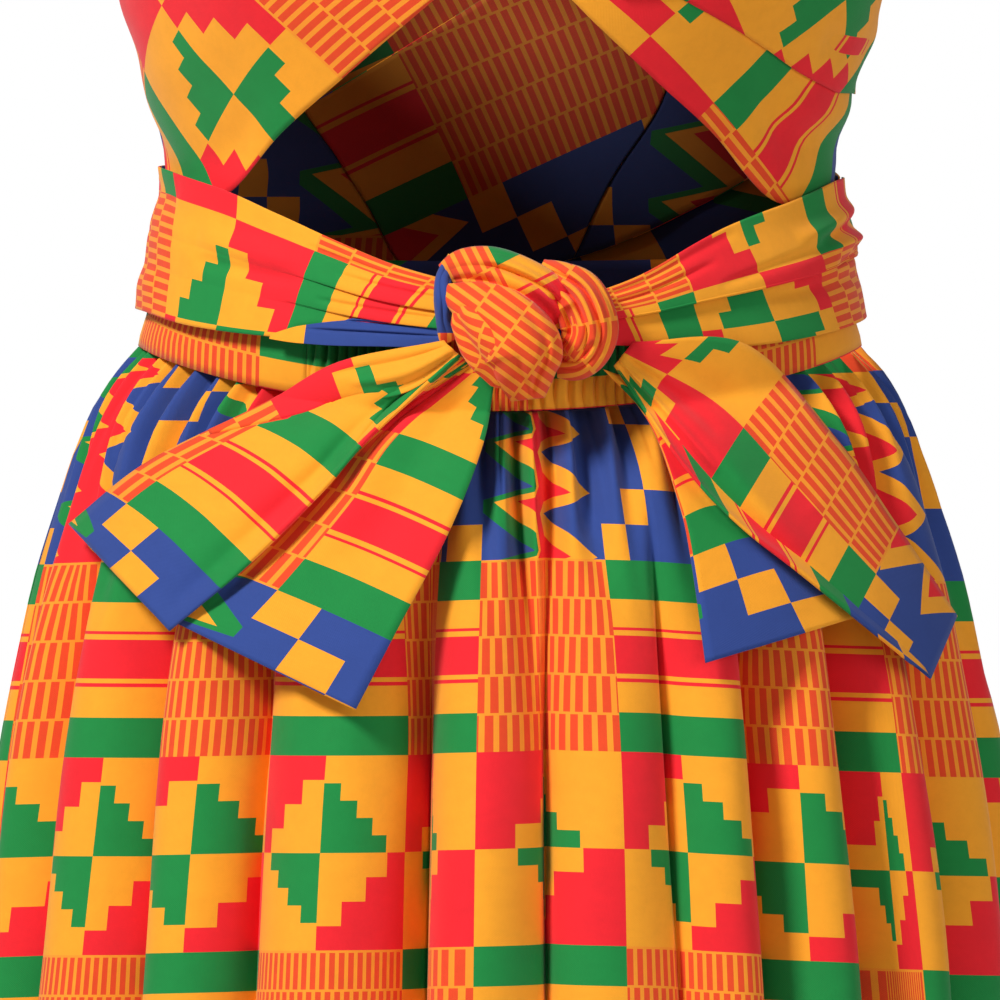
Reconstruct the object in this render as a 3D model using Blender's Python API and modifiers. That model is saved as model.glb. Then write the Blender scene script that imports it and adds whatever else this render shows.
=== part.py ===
"""Ankara wax-print dress, worn and hollow: a gathered skirt on a waistband, and one long scarf wound
over the bust, crossed front and back, and tied in a front knot with two hanging ends.

Sizes below are millimetres on the garment: x to the viewer's right, height above the waist seam at
the side, and depth out from the body's upright axis. place() turns them into metres, with the
origin at the back of the neck, where the dress is held. The front faces -Y and +Z is up.
"""
import math
from collections import namedtuple

import bmesh
import bpy
from mathutils import Vector

MM = 0.001
WALL = 1.2                 # thickness of every cloth wall
LAYER = 2.2                # from one layer of the scarf to the next, outer face to outer face
SEAM_GAP = 0.3             # between two pieces at a seam
KNOT_GAP = 0.4             # between the turns of the knot and what meets them
SIDE_SEAM_ANGLE = 0.12     # degrees left open at each end of a skirt panel
BAND_SEAM_ANGLE = 0.1      # between the two stretches of the waistband
SCARF_START_ANGLE = 0.25   # between two stretches of the scarf, at the side
SCARF_END_ANGLE = 0.4      # and where a bust strip meets the neck band
END_SHARPNESS = 12         # a higher power keeps those gaps closer to the end

NECK_HEIGHT = 399.0        # middle of the neck band above the waist seam
NECK_DEPTH = 64.0          # back of the neck behind the body's axis

BAND_HEIGHT = 36.0         # waistband
BAND_DIP_FRONT = 24.0      # how far the band drops from the side to the front centre
BAND_DIP_BACK = 5.0
BAND_DIP_POWER = 1.6       # how closely the drop keeps to the front
BAND_COVER = 16.0          # above the band, where the scarf starts to lie out over it
BAND_COVER_LEAD = 1.2      # how much of that height it takes to lie out fully
ELASTIC_ANGLE = 32.0       # half of the shirred front part of the band
ELASTIC_PUCKERS = 14
ELASTIC_PUCKER_DEPTH = 1.1

SKIRT_LENGTH = 760.0       # side seam, waist to hem
GATHERS = 46               # small gathers under the band, all round
GATHER_DEPTH = 2.6
GATHER_FADE = 62.0         # how far down the small gathers run
FOLD_START = 10.0          # where the large folds begin below the band
FOLD_FULL = 130.0          # where they reach their full depth
FOLD_PINCH = 0.62          # 0 is a plain wave, towards 1 the valleys close up

TAIL_SPREAD = 150.0        # half the width over which the hanging ends follow the body round
TAIL_MOST_TURN = 0.9
TAIL_MOST_ASIDE = 0.985

TURN_FULLNESS = 1.5        # 1 is a ball, more is a fatter turn of the knot with blunter ends
TURN_SEGMENTS = 14
TURN_RINGS = 12
PATH_STEP = 0.02           # how far ahead and behind a turn looks for its direction

SKIRT_COLUMNS = 92         # each skirt panel
SKIRT_DROPS = (0.0, 10.0, 25.0, 50.0, 90.0, 150.0, 240.0, 380.0, 570.0, 760.0)

Form = namedtuple("Form", "height half_width front back")
BODY_FORM = (              # the wound scarf and band, a ring at each height
    Form(-40, 131.5, 97, 93),
    Form(0, 131, 96, 92),
    Form(13, 127.5, 94, 90),
    Form(36, 123, 91, 88),
    Form(65, 121.5, 89, 86),
    Form(89, 127, 96, 87),
    Form(125, 137, 108, 92),
    Form(190, 150, 120, 97),
    Form(225, 148, 117, 97),
    Form(270, 128, 102, 88),
    Form(330, 92, 82, 75),
    Form(385, 64, 63, 65),
    Form(430, 60, 58, 63),
)
CUP_ANGLE = 36.0           # soft cups of the bust strips
CUP_HEIGHT = 168.0
CUP_DEPTH = 9.0
CUP_SPREAD_ANGLE = 21.0
CUP_SPREAD_HEIGHT = 52.0

Flare = namedtuple("Flare", "drop half_width front back")
SKIRT_FORM = (             # tops of the skirt's folds, a ring at each drop below the band
    Flare(0, 131, 96, 92),
    Flare(10, 140, 107, 101),
    Flare(25, 149, 117, 110),
    Flare(56, 160, 129, 121),
    Flare(92, 171, 139, 132),
    Flare(157, 183, 151, 144),
    Flare(237, 192, 160, 153),
    Flare(400, 205, 172, 166),
    Flare(580, 224, 188, 184),
    Flare(760, 245, 206, 203),
)

Fold = namedtuple("Fold", "waist hem depth")
FOLDS = (                  # each valley: its angle at the waist and the hem, and its depth
    Fold(-176, -177, 17),
    Fold(-162, -164, 21),
    Fold(-147, -148, 16),
    Fold(-133, -133, 22),
    Fold(-117, -116, 18),
    Fold(-99, -99, 20),
    Fold(-82, -82, 16),
    Fold(-68, -70, 19),
    Fold(-49, -44, 20),
    Fold(-33, -29, 21),
    Fold(-10, -10, 30),
    Fold(6, 5, 14),
    Fold(21, 22, 10),
    Fold(34, 32, 24),
    Fold(48, 50, 27),
    Fold(63, 66, 18),
    Fold(80, 83, 17),
    Fold(99, 99, 19),
    Fold(114, 113, 21),
    Fold(128, 128, 16),
    Fold(143, 145, 22),
    Fold(159, 160, 18),
)

Cut = namedtuple("Cut", "low_angle low high_angle high lift")
BUST_STRIP_LEFT = (        # from the side to the far side of the neck: lower edge, upper edge, lift
    Cut(-95, 67, -95, 214, 0),
    Cut(-80, 56, -82, 222, 0),
    Cut(-66, 51, -66, 227, 0.6),
    Cut(-53, 55, -51, 231, 1.0),
    Cut(-39.6, 74, -37, 237, 3.6),
    Cut(-26.7, 93, -24, 244, 3.6),
    Cut(-15.7, 112, -12, 252, 3.6),
    Cut(-7, 129, -1, 262, 3.6),
    Cut(1, 146, 8, 274, 3.6),
    Cut(14, 172, 18, 292, 4.4),
    Cut(30, 215, 28, 318, 4.8),
    Cut(46, 262, 40, 345, 3.6),
    Cut(62, 310, 54, 368, 1.6),
    Cut(78, 352, 72, 388, 0.4),
    Cut(90, 374, 90, 402, 0),
)
BUST_STRIP_RIGHT = (
    Cut(95, 67, 95, 214, 0),
    Cut(80, 56, 82, 222, 0),
    Cut(66, 51, 66, 227, 0),
    Cut(53, 53, 51, 231, 0),
    Cut(39.6, 74, 37, 237, 0),
    Cut(26.7, 93, 24, 244, 0),
    Cut(15.7, 113, 12, 252, 0),
    Cut(8, 130, 1, 262, 0),
    Cut(0, 147, -8, 274, 0),
    Cut(-13, 172, -18, 292, 0),
    Cut(-30, 215, -28, 318, 0),
    Cut(-46, 262, -40, 345, 0),
    Cut(-62, 310, -54, 368, 0),
    Cut(-78, 352, -72, 388, 0),
    Cut(-90, 374, -90, 402, 0),
)
NECK_BAND = (              # round the back of the neck, from the right to the left
    Cut(90, 374, 90, 402, 0),
    Cut(115, 382, 115, 408, 0),
    Cut(145, 386, 145, 411, 0),
    Cut(180, 387, 180, 411, 0),
    Cut(215, 386, 215, 411, 0),
    Cut(245, 382, 245, 408, 0),
    Cut(270, 374, 270, 402, 0),
)
BACK_CROSS_OUTER = (       # left bust round the back to the right of the waist
    Cut(-95, 67, -95, 214, 0),
    Cut(-106, 69, -106, 206, 2.0),
    Cut(-118, 70, -120, 192, 2.6),
    Cut(-140, 52, -144, 163, 2.6),
    Cut(-165, 33, -168, 132, 2.6),
    Cut(-190, 22, -190, 106, 2.6),
    Cut(-215, 17, -213, 84, 2.6),
    Cut(-240, 13, -238, 69, 2.6),
    Cut(-265, 12, -265, 61, 2.4),
)
BACK_CROSS_INNER = (       # right bust round the back to the left of the waist
    Cut(95, 67, 95, 214, 0),
    Cut(106, 71, 106, 206, 0),
    Cut(120, 70, 122, 190, 0),
    Cut(142, 52, 146, 160, 0),
    Cut(166, 33, 169, 130, 0),
    Cut(190, 22, 190, 102, 0),
    Cut(215, 17, 213, 80, 0),
    Cut(240, 14, 240, 66, 0),
    Cut(252, 13.5, 252, 65, 1.0),
    Cut(265, 14, 265, 65, 2.4),
)
WAIST_WRAP_LEFT = (        # from the left side to the knot
    Cut(-95, 14, -95, 65, 2.4),
    Cut(-75, 12, -75, 63, 2.8),
    Cut(-56, 7, -54, 56.5, 4.2),
    Cut(-43, 4, -40, 47.5, 4.4),
    Cut(-30, 1.8, -28, 38, 5.2),
    Cut(-19, 0.5, -17, 29, 7.0),
    Cut(-8, -1, -6, 22, 11.0),
)
WAIST_WRAP_RIGHT = (
    Cut(95, 12, 95, 61, 2.4),
    Cut(75, 8, 75, 59, 2.8),
    Cut(56, 3, 54, 50.5, 3.4),
    Cut(44, 0, 42, 44, 4.0),
    Cut(33, -1.5, 33, 36.5, 5.2),
    Cut(23, -1, 22, 25, 7.5),
    Cut(13, 0, 12, 17, 11.0),
)

Leaf = namedtuple("Leaf", "edge_x edge_up edge_lift ridge_x ridge_up ridge_lift "
                          "tuck_x tuck_up tuck_lift far_x far_up far_lift")
TAIL_LEFT = (              # across the end of the scarf: outer edge, fold in front, tuck, far edge
    Leaf(-20, 1, 15, -14.5, -4, 18, -11.6, -6.2, 13, -2, -14, 13),
    Leaf(-57.6, -6.5, 10, -46.7, -35, 14, -53, -32, 7, -6, -36, 10),
    Leaf(-85, -21.7, 7, -64, -55, 12, -71, -51, 5, -18, -67, 8),
    Leaf(-126.7, -42.4, 5.5, -89, -80, 10, -96, -75, 4, -36, -101, 7),
    Leaf(-155.3, -64.8, 5, -117.7, -104, 8, -123, -97, 4, -51.8, -131.4, 6),
)
TAIL_RIGHT = (             # here the far leaf is the one in front, so the ridge lies behind it
    Leaf(37.0, -9, 13, 45.5, -12, 12, 41.0, -8, 17, 48, 1, 15.5),
    Leaf(53.6, -28, 8, 76, -43, 6.5, 66, -46.3, 12, 88.7, 0, 14),
    Leaf(64, -56, 6, 97, -61, 5.5, 85, -66.6, 10.5, 121.3, -34, 10),
    Leaf(68.4, -76, 5, 119, -74, 5, 108.6, -85, 9.5, 142.3, -63.7, 8),
    Leaf(73.8, -114.4, 5, 142, -94, 4.5, 154.6, -121.6, 8, 165, -97.7, 7),
)

Turn = namedtuple("Turn", "x up out half_width half_thick")
KNOT_FRONT = (             # the turn that crosses the knot from the upper left to the lower right
    Turn(-13.4, 23.5, 111, 6.5, 7),
    Turn(-9.4, 15.2, 116, 13, 11),
    Turn(-2.9, 7.2, 119, 18, 14),
    Turn(4.3, -1.8, 120, 18.5, 14),
    Turn(9.0, -12, 117, 14, 12),
    Turn(11.2, -19.2, 111, 7.5, 8),
)
KNOT_TOP = (
    Turn(-12.7, 28.6, 105, 4.5, 5),
    Turn(-4.7, 27.2, 109, 8.5, 8),
    Turn(5.0, 23.5, 112, 11.5, 10),
    Turn(15.0, 15.5, 113, 11, 10),
    Turn(21.7, 7.3, 110, 7, 7),
)
KNOT_SIDE = (
    Turn(12.7, 29.3, 105, 3.5, 5),
    Turn(20.3, 24.0, 108, 7, 7),
    Turn(28.5, 14.0, 111, 11.5, 10),
    Turn(31.0, 3.6, 112, 13, 11),
    Turn(26.5, -5.6, 110, 12, 10),
    Turn(19.5, -8.3, 106, 6, 7),
)

CLOTH_COLOURS = {
    "print": (0.93, 0.40, 0.06, 1.0),
    "inside": (0.60, 0.22, 0.04, 1.0),
    "band": (0.88, 0.30, 0.05, 1.0),
}


def place(x, height, depth):
    """A point of the garment in metres, from the neck hold; depth is in front of the axis."""
    return Vector((x, -depth - NECK_DEPTH, height - NECK_HEIGHT)) * MM


def mix(a, b, t):
    return a + (b - a) * t


def ease(t):
    """0 to 1 with level ends."""
    t = min(max(t, 0.0), 1.0)
    return t * t * (3.0 - 2.0 * t)


def read(rows, key, value):
    """Every column of a table at one value of its key column, on a smooth curve through the rows."""
    keys = [getattr(row, key) for row in rows]
    value = min(max(value, keys[0]), keys[-1])
    last = len(rows) - 2
    i = min(max(sum(1 for k in keys if k <= value) - 1, 0), last)
    t = (value - keys[i]) / (keys[i + 1] - keys[i])
    return along(rows, (i + t) / (len(rows) - 1), keys)


def along(rows, share, keys=None):
    """Every column of a table part of the way down it, on a smooth curve through the rows."""
    keys = keys or list(range(len(rows)))
    place_in_rows = min(max(share, 0.0), 1.0) * (len(rows) - 1)
    i = min(int(place_in_rows), len(rows) - 2)
    t = place_in_rows - i
    span = keys[i + 1] - keys[i]
    before, after = max(i - 1, 0), min(i + 2, len(rows) - 1)
    columns = []
    for column in zip(rows[before], rows[i], rows[i + 1], rows[after]):
        slope_a = (column[2] - column[0]) / (keys[i + 1] - keys[before]) * span
        slope_b = (column[3] - column[1]) / (keys[after] - keys[i]) * span
        a, b = column[1], column[2]
        columns.append((2 * t**3 - 3 * t**2 + 1) * a + (t**3 - 2 * t**2 + t) * slope_a
                       + (3 * t**2 - 2 * t**3) * b + (t**3 - t**2) * slope_b)
    return type(rows[0])(*columns)


def cup(angle, height):
    """How far the soft cups stand out from the body's oval."""
    side = (abs(angle) - CUP_ANGLE) / CUP_SPREAD_ANGLE
    up = (height - CUP_HEIGHT) / CUP_SPREAD_HEIGHT
    return CUP_DEPTH * math.exp(-side * side - up * up)


def on_body(angle, height, lift):
    """A point on the wound cloth; angle 0 is the front centre and 90 the right side."""
    angle = (angle + 180.0) % 360.0 - 180.0
    form = read(BODY_FORM, "height", height)
    turn = math.radians(angle)
    reach = form.front if abs(angle) < 90.0 else form.back
    lift += cup(angle, height)
    return place((form.half_width + lift) * math.sin(turn), height, (reach + lift) * math.cos(turn))


def band_edge(angle):
    """Height of the seam between band and skirt."""
    level = math.cos(math.radians(angle))
    if level > 0.0:
        return -BAND_DIP_FRONT * level**BAND_DIP_POWER
    return -BAND_DIP_BACK * -level


def over_band(angle, height):
    """How far the scarf lies out where it passes over the waistband."""
    above = height - band_edge(angle) - BAND_HEIGHT
    return LAYER * ease(BAND_COVER_LEAD - above / BAND_COVER)


def fold_valley(index, share):
    """Angle of a valley, going on past either end of the table by whole turns."""
    turns, row = divmod(index, len(FOLDS))
    return mix(FOLDS[row].waist, FOLDS[row].hem, share) + 360.0 * turns


def fold_sink(angle, share):
    """Sideways shift and depth of the large folds at an angle, both for folds at full size."""
    angle = (angle + 180.0) % 360.0 - 180.0
    index = -1
    while fold_valley(index + 1, share) <= angle:
        index += 1
    start, end = fold_valley(index, share), fold_valley(index + 1, share)
    t = (angle - start) / (end - start)
    shift = -FOLD_PINCH * (end - start) * math.sin(2.0 * math.pi * t) / (2.0 * math.pi)
    depth = mix(FOLDS[index % len(FOLDS)].depth, FOLDS[(index + 1) % len(FOLDS)].depth, ease(t))
    return shift, depth * 0.5 * (1.0 + math.cos(2.0 * math.pi * t))


def on_skirt(angle, drop, lift=0.0):
    """A point on the skirt's outer face, with its large folds and its small gathers."""
    share = drop / SKIRT_LENGTH
    size = ease((drop - FOLD_START) / (FOLD_FULL - FOLD_START))
    shift, sink = fold_sink(angle, share)
    gather = GATHER_DEPTH * ease(1.0 - drop / GATHER_FADE) * math.cos(math.radians(GATHERS * angle))
    form = read(SKIRT_FORM, "drop", drop)
    turn = math.radians(angle + shift * size)
    out = lift - sink * size + gather - GATHER_DEPTH * ease(1.0 - drop / GATHER_FADE)
    reach = form.front if math.cos(turn) > 0.0 else form.back
    level = mix(band_edge(angle), 0.0, ease(share)) - SEAM_GAP - drop
    return place((form.half_width + out) * math.sin(turn), level, (reach + out) * math.cos(turn))


def over_skirt(x, height, lift):
    """A point in front of the skirt's folds, or of the band above it, seen from the front at x."""
    body = read(BODY_FORM, "height", height)
    turned = min(max(x / TAIL_SPREAD, -TAIL_MOST_TURN), TAIL_MOST_TURN)
    angle = math.degrees(math.asin(turned))
    drop = max(band_edge(angle) - height, 0.0)
    skirt = read(SKIRT_FORM, "drop", drop)
    half_width = max(body.half_width, skirt.half_width) + lift
    reach = max(body.front, skirt.front) + lift
    aside = min(abs(x) / half_width, TAIL_MOST_ASIDE)
    return place(x, height, reach * math.sqrt(1.0 - aside * aside))


def wound(rows, start_gap=0.0, end_gap=0.0):
    """The surface of one stretch of the scarf, from a table of cuts across it."""
    def surface(across, lengthwise):
        cut = along(rows, lengthwise)
        angle = mix(cut.low_angle, cut.high_angle, across)
        toward_end = 1.0 if rows[-1].low_angle > rows[0].low_angle else -1.0
        angle += toward_end * (start_gap * (1.0 - lengthwise)**END_SHARPNESS
                               - end_gap * lengthwise**END_SHARPNESS)
        height = mix(cut.low, cut.high, across)
        return on_body(angle, height, cut.lift + over_band(angle, height))
    return surface


def band(first, last, puckers=0):
    """The waistband between two angles, with the shirring's upright puckers."""
    def surface(around, up):
        angle = mix(first, last, around)
        ripple = ELASTIC_PUCKER_DEPTH * math.cos(2.0 * math.pi * puckers * around) if puckers else 0.0
        ripple *= math.sin(math.pi * min(around, 1.0 - around) * puckers) if puckers else 0.0
        return on_body(angle, band_edge(angle) + BAND_HEIGHT * up, ripple)
    return surface


def skirt_panel(first, last):
    """One width of the skirt between its side seams."""
    def surface(around, down):
        rows = len(SKIRT_DROPS) - 1
        i = min(int(down * rows), rows - 1)
        drop = mix(SKIRT_DROPS[i], SKIRT_DROPS[i + 1], down * rows - i)
        return on_skirt(mix(first, last, around), drop)
    return surface


def rounded(points, share):
    """A point on the curve that a row of corners pulls, which never swings past them."""
    spans = len(points) - 2
    i = min(int(share * spans), spans - 1)
    t = share * spans - i
    start = points[0] if i == 0 else (points[i] + points[i + 1]) / 2.0
    end = points[-1] if i == spans - 1 else (points[i + 1] + points[i + 2]) / 2.0
    return start * (1.0 - t)**2 + points[i + 1] * 2.0 * t * (1.0 - t) + end * t * t


def tail(rows):
    """A hanging end of the scarf, folded in two leaves: outer edge, ridge, tuck and far edge."""
    def surface(across, lengthwise):
        leaf = along(rows, lengthwise)
        edge = Vector((leaf.edge_x, leaf.edge_up, leaf.edge_lift))
        ridge = Vector((leaf.ridge_x, leaf.ridge_up, leaf.ridge_lift))
        tuck = Vector((leaf.tuck_x, leaf.tuck_up, leaf.tuck_lift))
        far = Vector((leaf.far_x, leaf.far_up, leaf.far_lift))
        corners = (edge, edge.lerp(ridge, 0.5), edge.lerp(ridge, 0.88), ridge,
                   tuck, tuck.lerp(far, 0.12), tuck.lerp(far, 0.5), far)
        return over_skirt(*rounded(corners, across))
    return surface


def material(name):
    """Matt cotton in one plain colour."""
    found = bpy.data.materials.get(name) or bpy.data.materials.new(name)
    found.use_nodes = True
    shader = found.node_tree.nodes["Principled BSDF"]
    shader.inputs["Base Color"].default_value = CLOTH_COLOURS[name]
    shader.inputs["Roughness"].default_value = 0.8
    shader.inputs["Metallic"].default_value = 0.0
    return found


def add_object(name, mesh, colour, group):
    part = bpy.data.objects.new(name, mesh)
    part.data.materials.append(material(colour))
    group.objects.link(part)
    return part


def cloth(name, surface, across, lengthwise, colour, group, facing_in=False):
    """A wall of cloth: a flat grid bent onto a surface, with its thickness on the body's side."""
    sheet = bmesh.new()
    bmesh.ops.create_grid(sheet, x_segments=across, y_segments=lengthwise, size=1.0)
    for vertex in sheet.verts:
        vertex.co = surface((vertex.co.x + 1.0) / 2.0, (vertex.co.y + 1.0) / 2.0)
    if facing_in:
        bmesh.ops.reverse_faces(sheet, faces=sheet.faces)
    mesh = bpy.data.meshes.new(name)
    sheet.to_mesh(mesh)
    sheet.free()
    mesh.shade_smooth()
    part = add_object(name, mesh, colour, group)
    wall = part.modifiers.new("Cloth wall", "SOLIDIFY")
    wall.thickness = WALL * MM
    wall.offset = -1.0
    return part


def knot_turn(name, rows, colour, group, grow=0.0):
    """A fat turn of the knot: a ball drawn out along its path, round at both ends."""
    ball = bmesh.new()
    bmesh.ops.create_uvsphere(ball, u_segments=TURN_SEGMENTS, v_segments=TURN_RINGS, radius=1.0)
    for vertex in ball.verts:
        share = math.acos(min(max(vertex.co.z, -1.0), 1.0)) / math.pi
        ring = math.hypot(vertex.co.x, vertex.co.y)
        turn = math.atan2(vertex.co.y, vertex.co.x)
        here = along(rows, share)
        ahead, behind = along(rows, share + PATH_STEP), along(rows, share - PATH_STEP)
        path = Vector((ahead.x - behind.x, ahead.up - behind.up)).normalized()
        full = min(1.0, TURN_FULLNESS * ring)
        sideways = (here.half_width * full + grow * ring) * math.cos(turn)
        out = (here.half_thick * full + grow * ring) * math.sin(turn)
        past_end = (0.5 - share) * 2.0
        stretch = grow * past_end * abs(past_end)
        vertex.co = place(here.x - path.y * sideways - path.x * stretch,
                          here.up + path.x * sideways - path.y * stretch,
                          here.out + out)
    if ball.calc_volume(signed=True) < 0.0:
        bmesh.ops.reverse_faces(ball, faces=ball.faces)
    mesh = bpy.data.meshes.new(name)
    ball.to_mesh(mesh)
    ball.free()
    mesh.shade_smooth()
    return add_object(name, mesh, colour, group)


def cut_clear(part, cutters):
    """Takes from a piece what its neighbours in the knot fill."""
    for cutter in cutters:
        clear = part.modifiers.new("Clear of " + cutter.name, "BOOLEAN")
        clear.operation = "DIFFERENCE"
        clear.object = cutter


def build_skirt(group):
    half_turn = 90.0 - SIDE_SEAM_ANGLE
    for name, middle in (("skirt_front", 0.0), ("skirt_back", 180.0)):
        cloth(name, skirt_panel(middle - half_turn, middle + half_turn), SKIRT_COLUMNS,
              len(SKIRT_DROPS) - 1, "print", group, facing_in=True)


def build_waistband(group):
    plain_start = ELASTIC_ANGLE + BAND_SEAM_ANGLE
    cloth("waistband_elastic", band(-ELASTIC_ANGLE, ELASTIC_ANGLE, ELASTIC_PUCKERS),
          ELASTIC_PUCKERS * 4, 2, "band", group)
    cloth("waistband_plain", band(plain_start, 360.0 - plain_start), 44, 2, "band", group)


Stretch = namedtuple("Stretch", "name rows start_gap end_gap across lengthwise colour facing_in")
SCARF = (                  # each stretch of the scarf, with the squares of its grid
    Stretch("bust_strip_left", BUST_STRIP_LEFT, SCARF_START_ANGLE, SCARF_END_ANGLE, 6, 24,
            "print", True),
    Stretch("bust_strip_right", BUST_STRIP_RIGHT, SCARF_START_ANGLE, SCARF_END_ANGLE, 6, 24,
            "print", False),
    Stretch("neck_band", NECK_BAND, 0.0, 0.0, 2, 12, "print", True),
    Stretch("back_cross_outer", BACK_CROSS_OUTER, 0.0, 0.0, 5, 24, "inside", False),
    Stretch("back_cross_inner", BACK_CROSS_INNER, 0.0, 0.0, 5, 24, "inside", True),
    Stretch("waist_wrap_left", WAIST_WRAP_LEFT, SCARF_START_ANGLE, 0.0, 5, 14, "print", True),
    Stretch("waist_wrap_right", WAIST_WRAP_RIGHT, SCARF_START_ANGLE, 0.0, 5, 14, "print", False),
)
End = namedtuple("End", "name rows across lengthwise facing_in")
HANGING_ENDS = (
    End("tail_left", TAIL_LEFT, 18, 10, False),
    End("tail_right", TAIL_RIGHT, 18, 10, True),
)


def build_scarf(group):
    """Makes the scarf and returns the pieces that the knot holds."""
    held = []
    for stretch in SCARF:
        surface = wound(stretch.rows, stretch.start_gap, stretch.end_gap)
        part = cloth(stretch.name, surface, stretch.across, stretch.lengthwise, stretch.colour,
                     group, stretch.facing_in)
        if stretch.rows in (WAIST_WRAP_LEFT, WAIST_WRAP_RIGHT):
            held.append(part)
    for end in HANGING_ENDS:
        held.append(cloth(end.name, tail(end.rows), end.across, end.lengthwise, "print", group,
                          end.facing_in))
    return held


def build_knot(group, cutter_group, ends):
    turns = {"knot_front_turn": KNOT_FRONT, "knot_top_turn": KNOT_TOP, "knot_side_turn": KNOT_SIDE}
    cutters = []
    for name, rows in turns.items():
        part = knot_turn(name, rows, "print", group)
        cut_clear(part, cutters)
        cutter = knot_turn(name + "_room", rows, "inside", cutter_group, grow=KNOT_GAP)
        cutter.hide_render = True
        cutter.display_type = "WIRE"
        cutters.append(cutter)
    for end in ends:
        cut_clear(end, cutters)


def main():
    for old in list(bpy.data.objects):
        bpy.data.objects.remove(old)
    group = bpy.data.collections.new("ankara_wax_print_dress")
    cutter_group = bpy.data.collections.new("knot_cutters")
    bpy.context.scene.collection.children.link(group)
    bpy.context.scene.collection.children.link(cutter_group)
    build_skirt(group)
    build_waistband(group)
    ends = build_scarf(group)
    build_knot(group, cutter_group, ends)


main()
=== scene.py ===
# %% [markdown]
# # A wax-print dress with a wound scarf
#
# The real dress is cotton poplin printed with a kente-style pattern. A gathered skirt hangs from a
# waistband, and one long scarf is wound over the bust, crossed behind the back and tied in front.
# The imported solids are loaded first. They are plain walls of cloth, and each one is then replaced by
# a finer sheet on the same form, so nothing has to be fitted by eye.

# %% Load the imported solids
import math
from collections import namedtuple

import bmesh
import bpy
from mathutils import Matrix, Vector


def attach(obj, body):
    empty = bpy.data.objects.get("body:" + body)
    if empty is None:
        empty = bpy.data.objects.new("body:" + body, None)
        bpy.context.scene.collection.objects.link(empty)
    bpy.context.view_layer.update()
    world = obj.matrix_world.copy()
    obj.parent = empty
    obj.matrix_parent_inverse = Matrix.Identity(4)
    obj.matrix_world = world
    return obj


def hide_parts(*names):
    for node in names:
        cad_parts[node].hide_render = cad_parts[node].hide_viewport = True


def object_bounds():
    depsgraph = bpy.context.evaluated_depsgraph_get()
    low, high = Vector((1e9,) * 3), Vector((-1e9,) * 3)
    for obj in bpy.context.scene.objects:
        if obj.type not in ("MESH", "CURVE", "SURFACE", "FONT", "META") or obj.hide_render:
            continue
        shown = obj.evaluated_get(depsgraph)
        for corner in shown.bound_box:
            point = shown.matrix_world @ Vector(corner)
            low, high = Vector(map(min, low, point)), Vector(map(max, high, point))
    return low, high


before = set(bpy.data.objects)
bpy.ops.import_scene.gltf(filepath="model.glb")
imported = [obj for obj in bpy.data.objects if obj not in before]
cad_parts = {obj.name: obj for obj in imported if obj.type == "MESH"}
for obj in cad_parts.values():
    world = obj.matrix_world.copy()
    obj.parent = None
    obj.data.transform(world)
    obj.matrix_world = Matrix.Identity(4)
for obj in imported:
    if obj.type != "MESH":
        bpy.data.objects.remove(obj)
cad_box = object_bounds()
print("packed nodes:", len(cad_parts))

# %% [markdown]
# ## The measures of the garment
#
# The sizes are in millimetres on the garment: x to the viewer's right, height above the waist seam at
# the side, and depth out from the body's upright axis. One function turns them into the frame's
# metres, with the origin at the back of the neck. The tables are the ones that the solids were made
# from, because a sheet that is worked out from the same sections can't drift away from its solid.

# %% Sizes shared with the solids
MM = 0.001
LAYER = 2.2
SEAM_GAP = 0.3
NECK_HEIGHT = 399.0
NECK_DEPTH = 64.0
BAND_HEIGHT = 36.0
BAND_DIP_FRONT = 24.0
BAND_DIP_BACK = 5.0
BAND_COVER = 16.0
ELASTIC_ANGLE = 32.0
SKIRT_LENGTH = 760.0
GATHER_DEPTH = 2.6
GATHER_FADE = 62.0
FOLD_START = 10.0
FOLD_FULL = 130.0
FOLD_PINCH = 0.62


def table(kind, *rows):
    """Rows of numbers, each with its columns named."""
    return tuple(kind(*row) for row in rows)


Form = namedtuple("Form", "height half_width front back")
BODY_FORM = table(
    Form, (-40, 131.5, 97, 93), (0, 131, 96, 92), (13, 127.5, 94, 90), (36, 123, 91, 88),
    (65, 121.5, 89, 86), (89, 127, 96, 87), (125, 137, 108, 92), (190, 150, 120, 97),
    (225, 148, 117, 97), (270, 128, 102, 88), (330, 92, 82, 75), (385, 64, 63, 65), (430, 60, 58, 63))
CUP_ANGLE = 36.0
CUP_HEIGHT = 168.0
CUP_DEPTH = 9.0
CUP_SPREAD_ANGLE = 21.0
CUP_SPREAD_HEIGHT = 52.0

Flare = namedtuple("Flare", "drop half_width front back")
SKIRT_FORM = table(
    Flare, (0, 131, 96, 92), (10, 140, 107, 101), (25, 149, 117, 110), (56, 160, 129, 121),
    (92, 171, 139, 132), (157, 183, 151, 144), (237, 192, 160, 153), (400, 205, 172, 166),
    (580, 224, 188, 184), (760, 245, 206, 203))

Fold = namedtuple("Fold", "waist hem depth")
FOLDS = table(
    Fold, (-176, -177, 17), (-162, -164, 21), (-147, -148, 16), (-133, -133, 22), (-117, -116, 18),
    (-99, -99, 20), (-82, -82, 16), (-68, -70, 19), (-49, -44, 20), (-33, -29, 21), (-10, -10, 30),
    (6, 5, 14), (21, 22, 10), (34, 32, 24), (48, 50, 27), (63, 66, 18), (80, 83, 17), (99, 99, 19),
    (114, 113, 21), (128, 128, 16), (143, 145, 22), (159, 160, 18))

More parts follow.
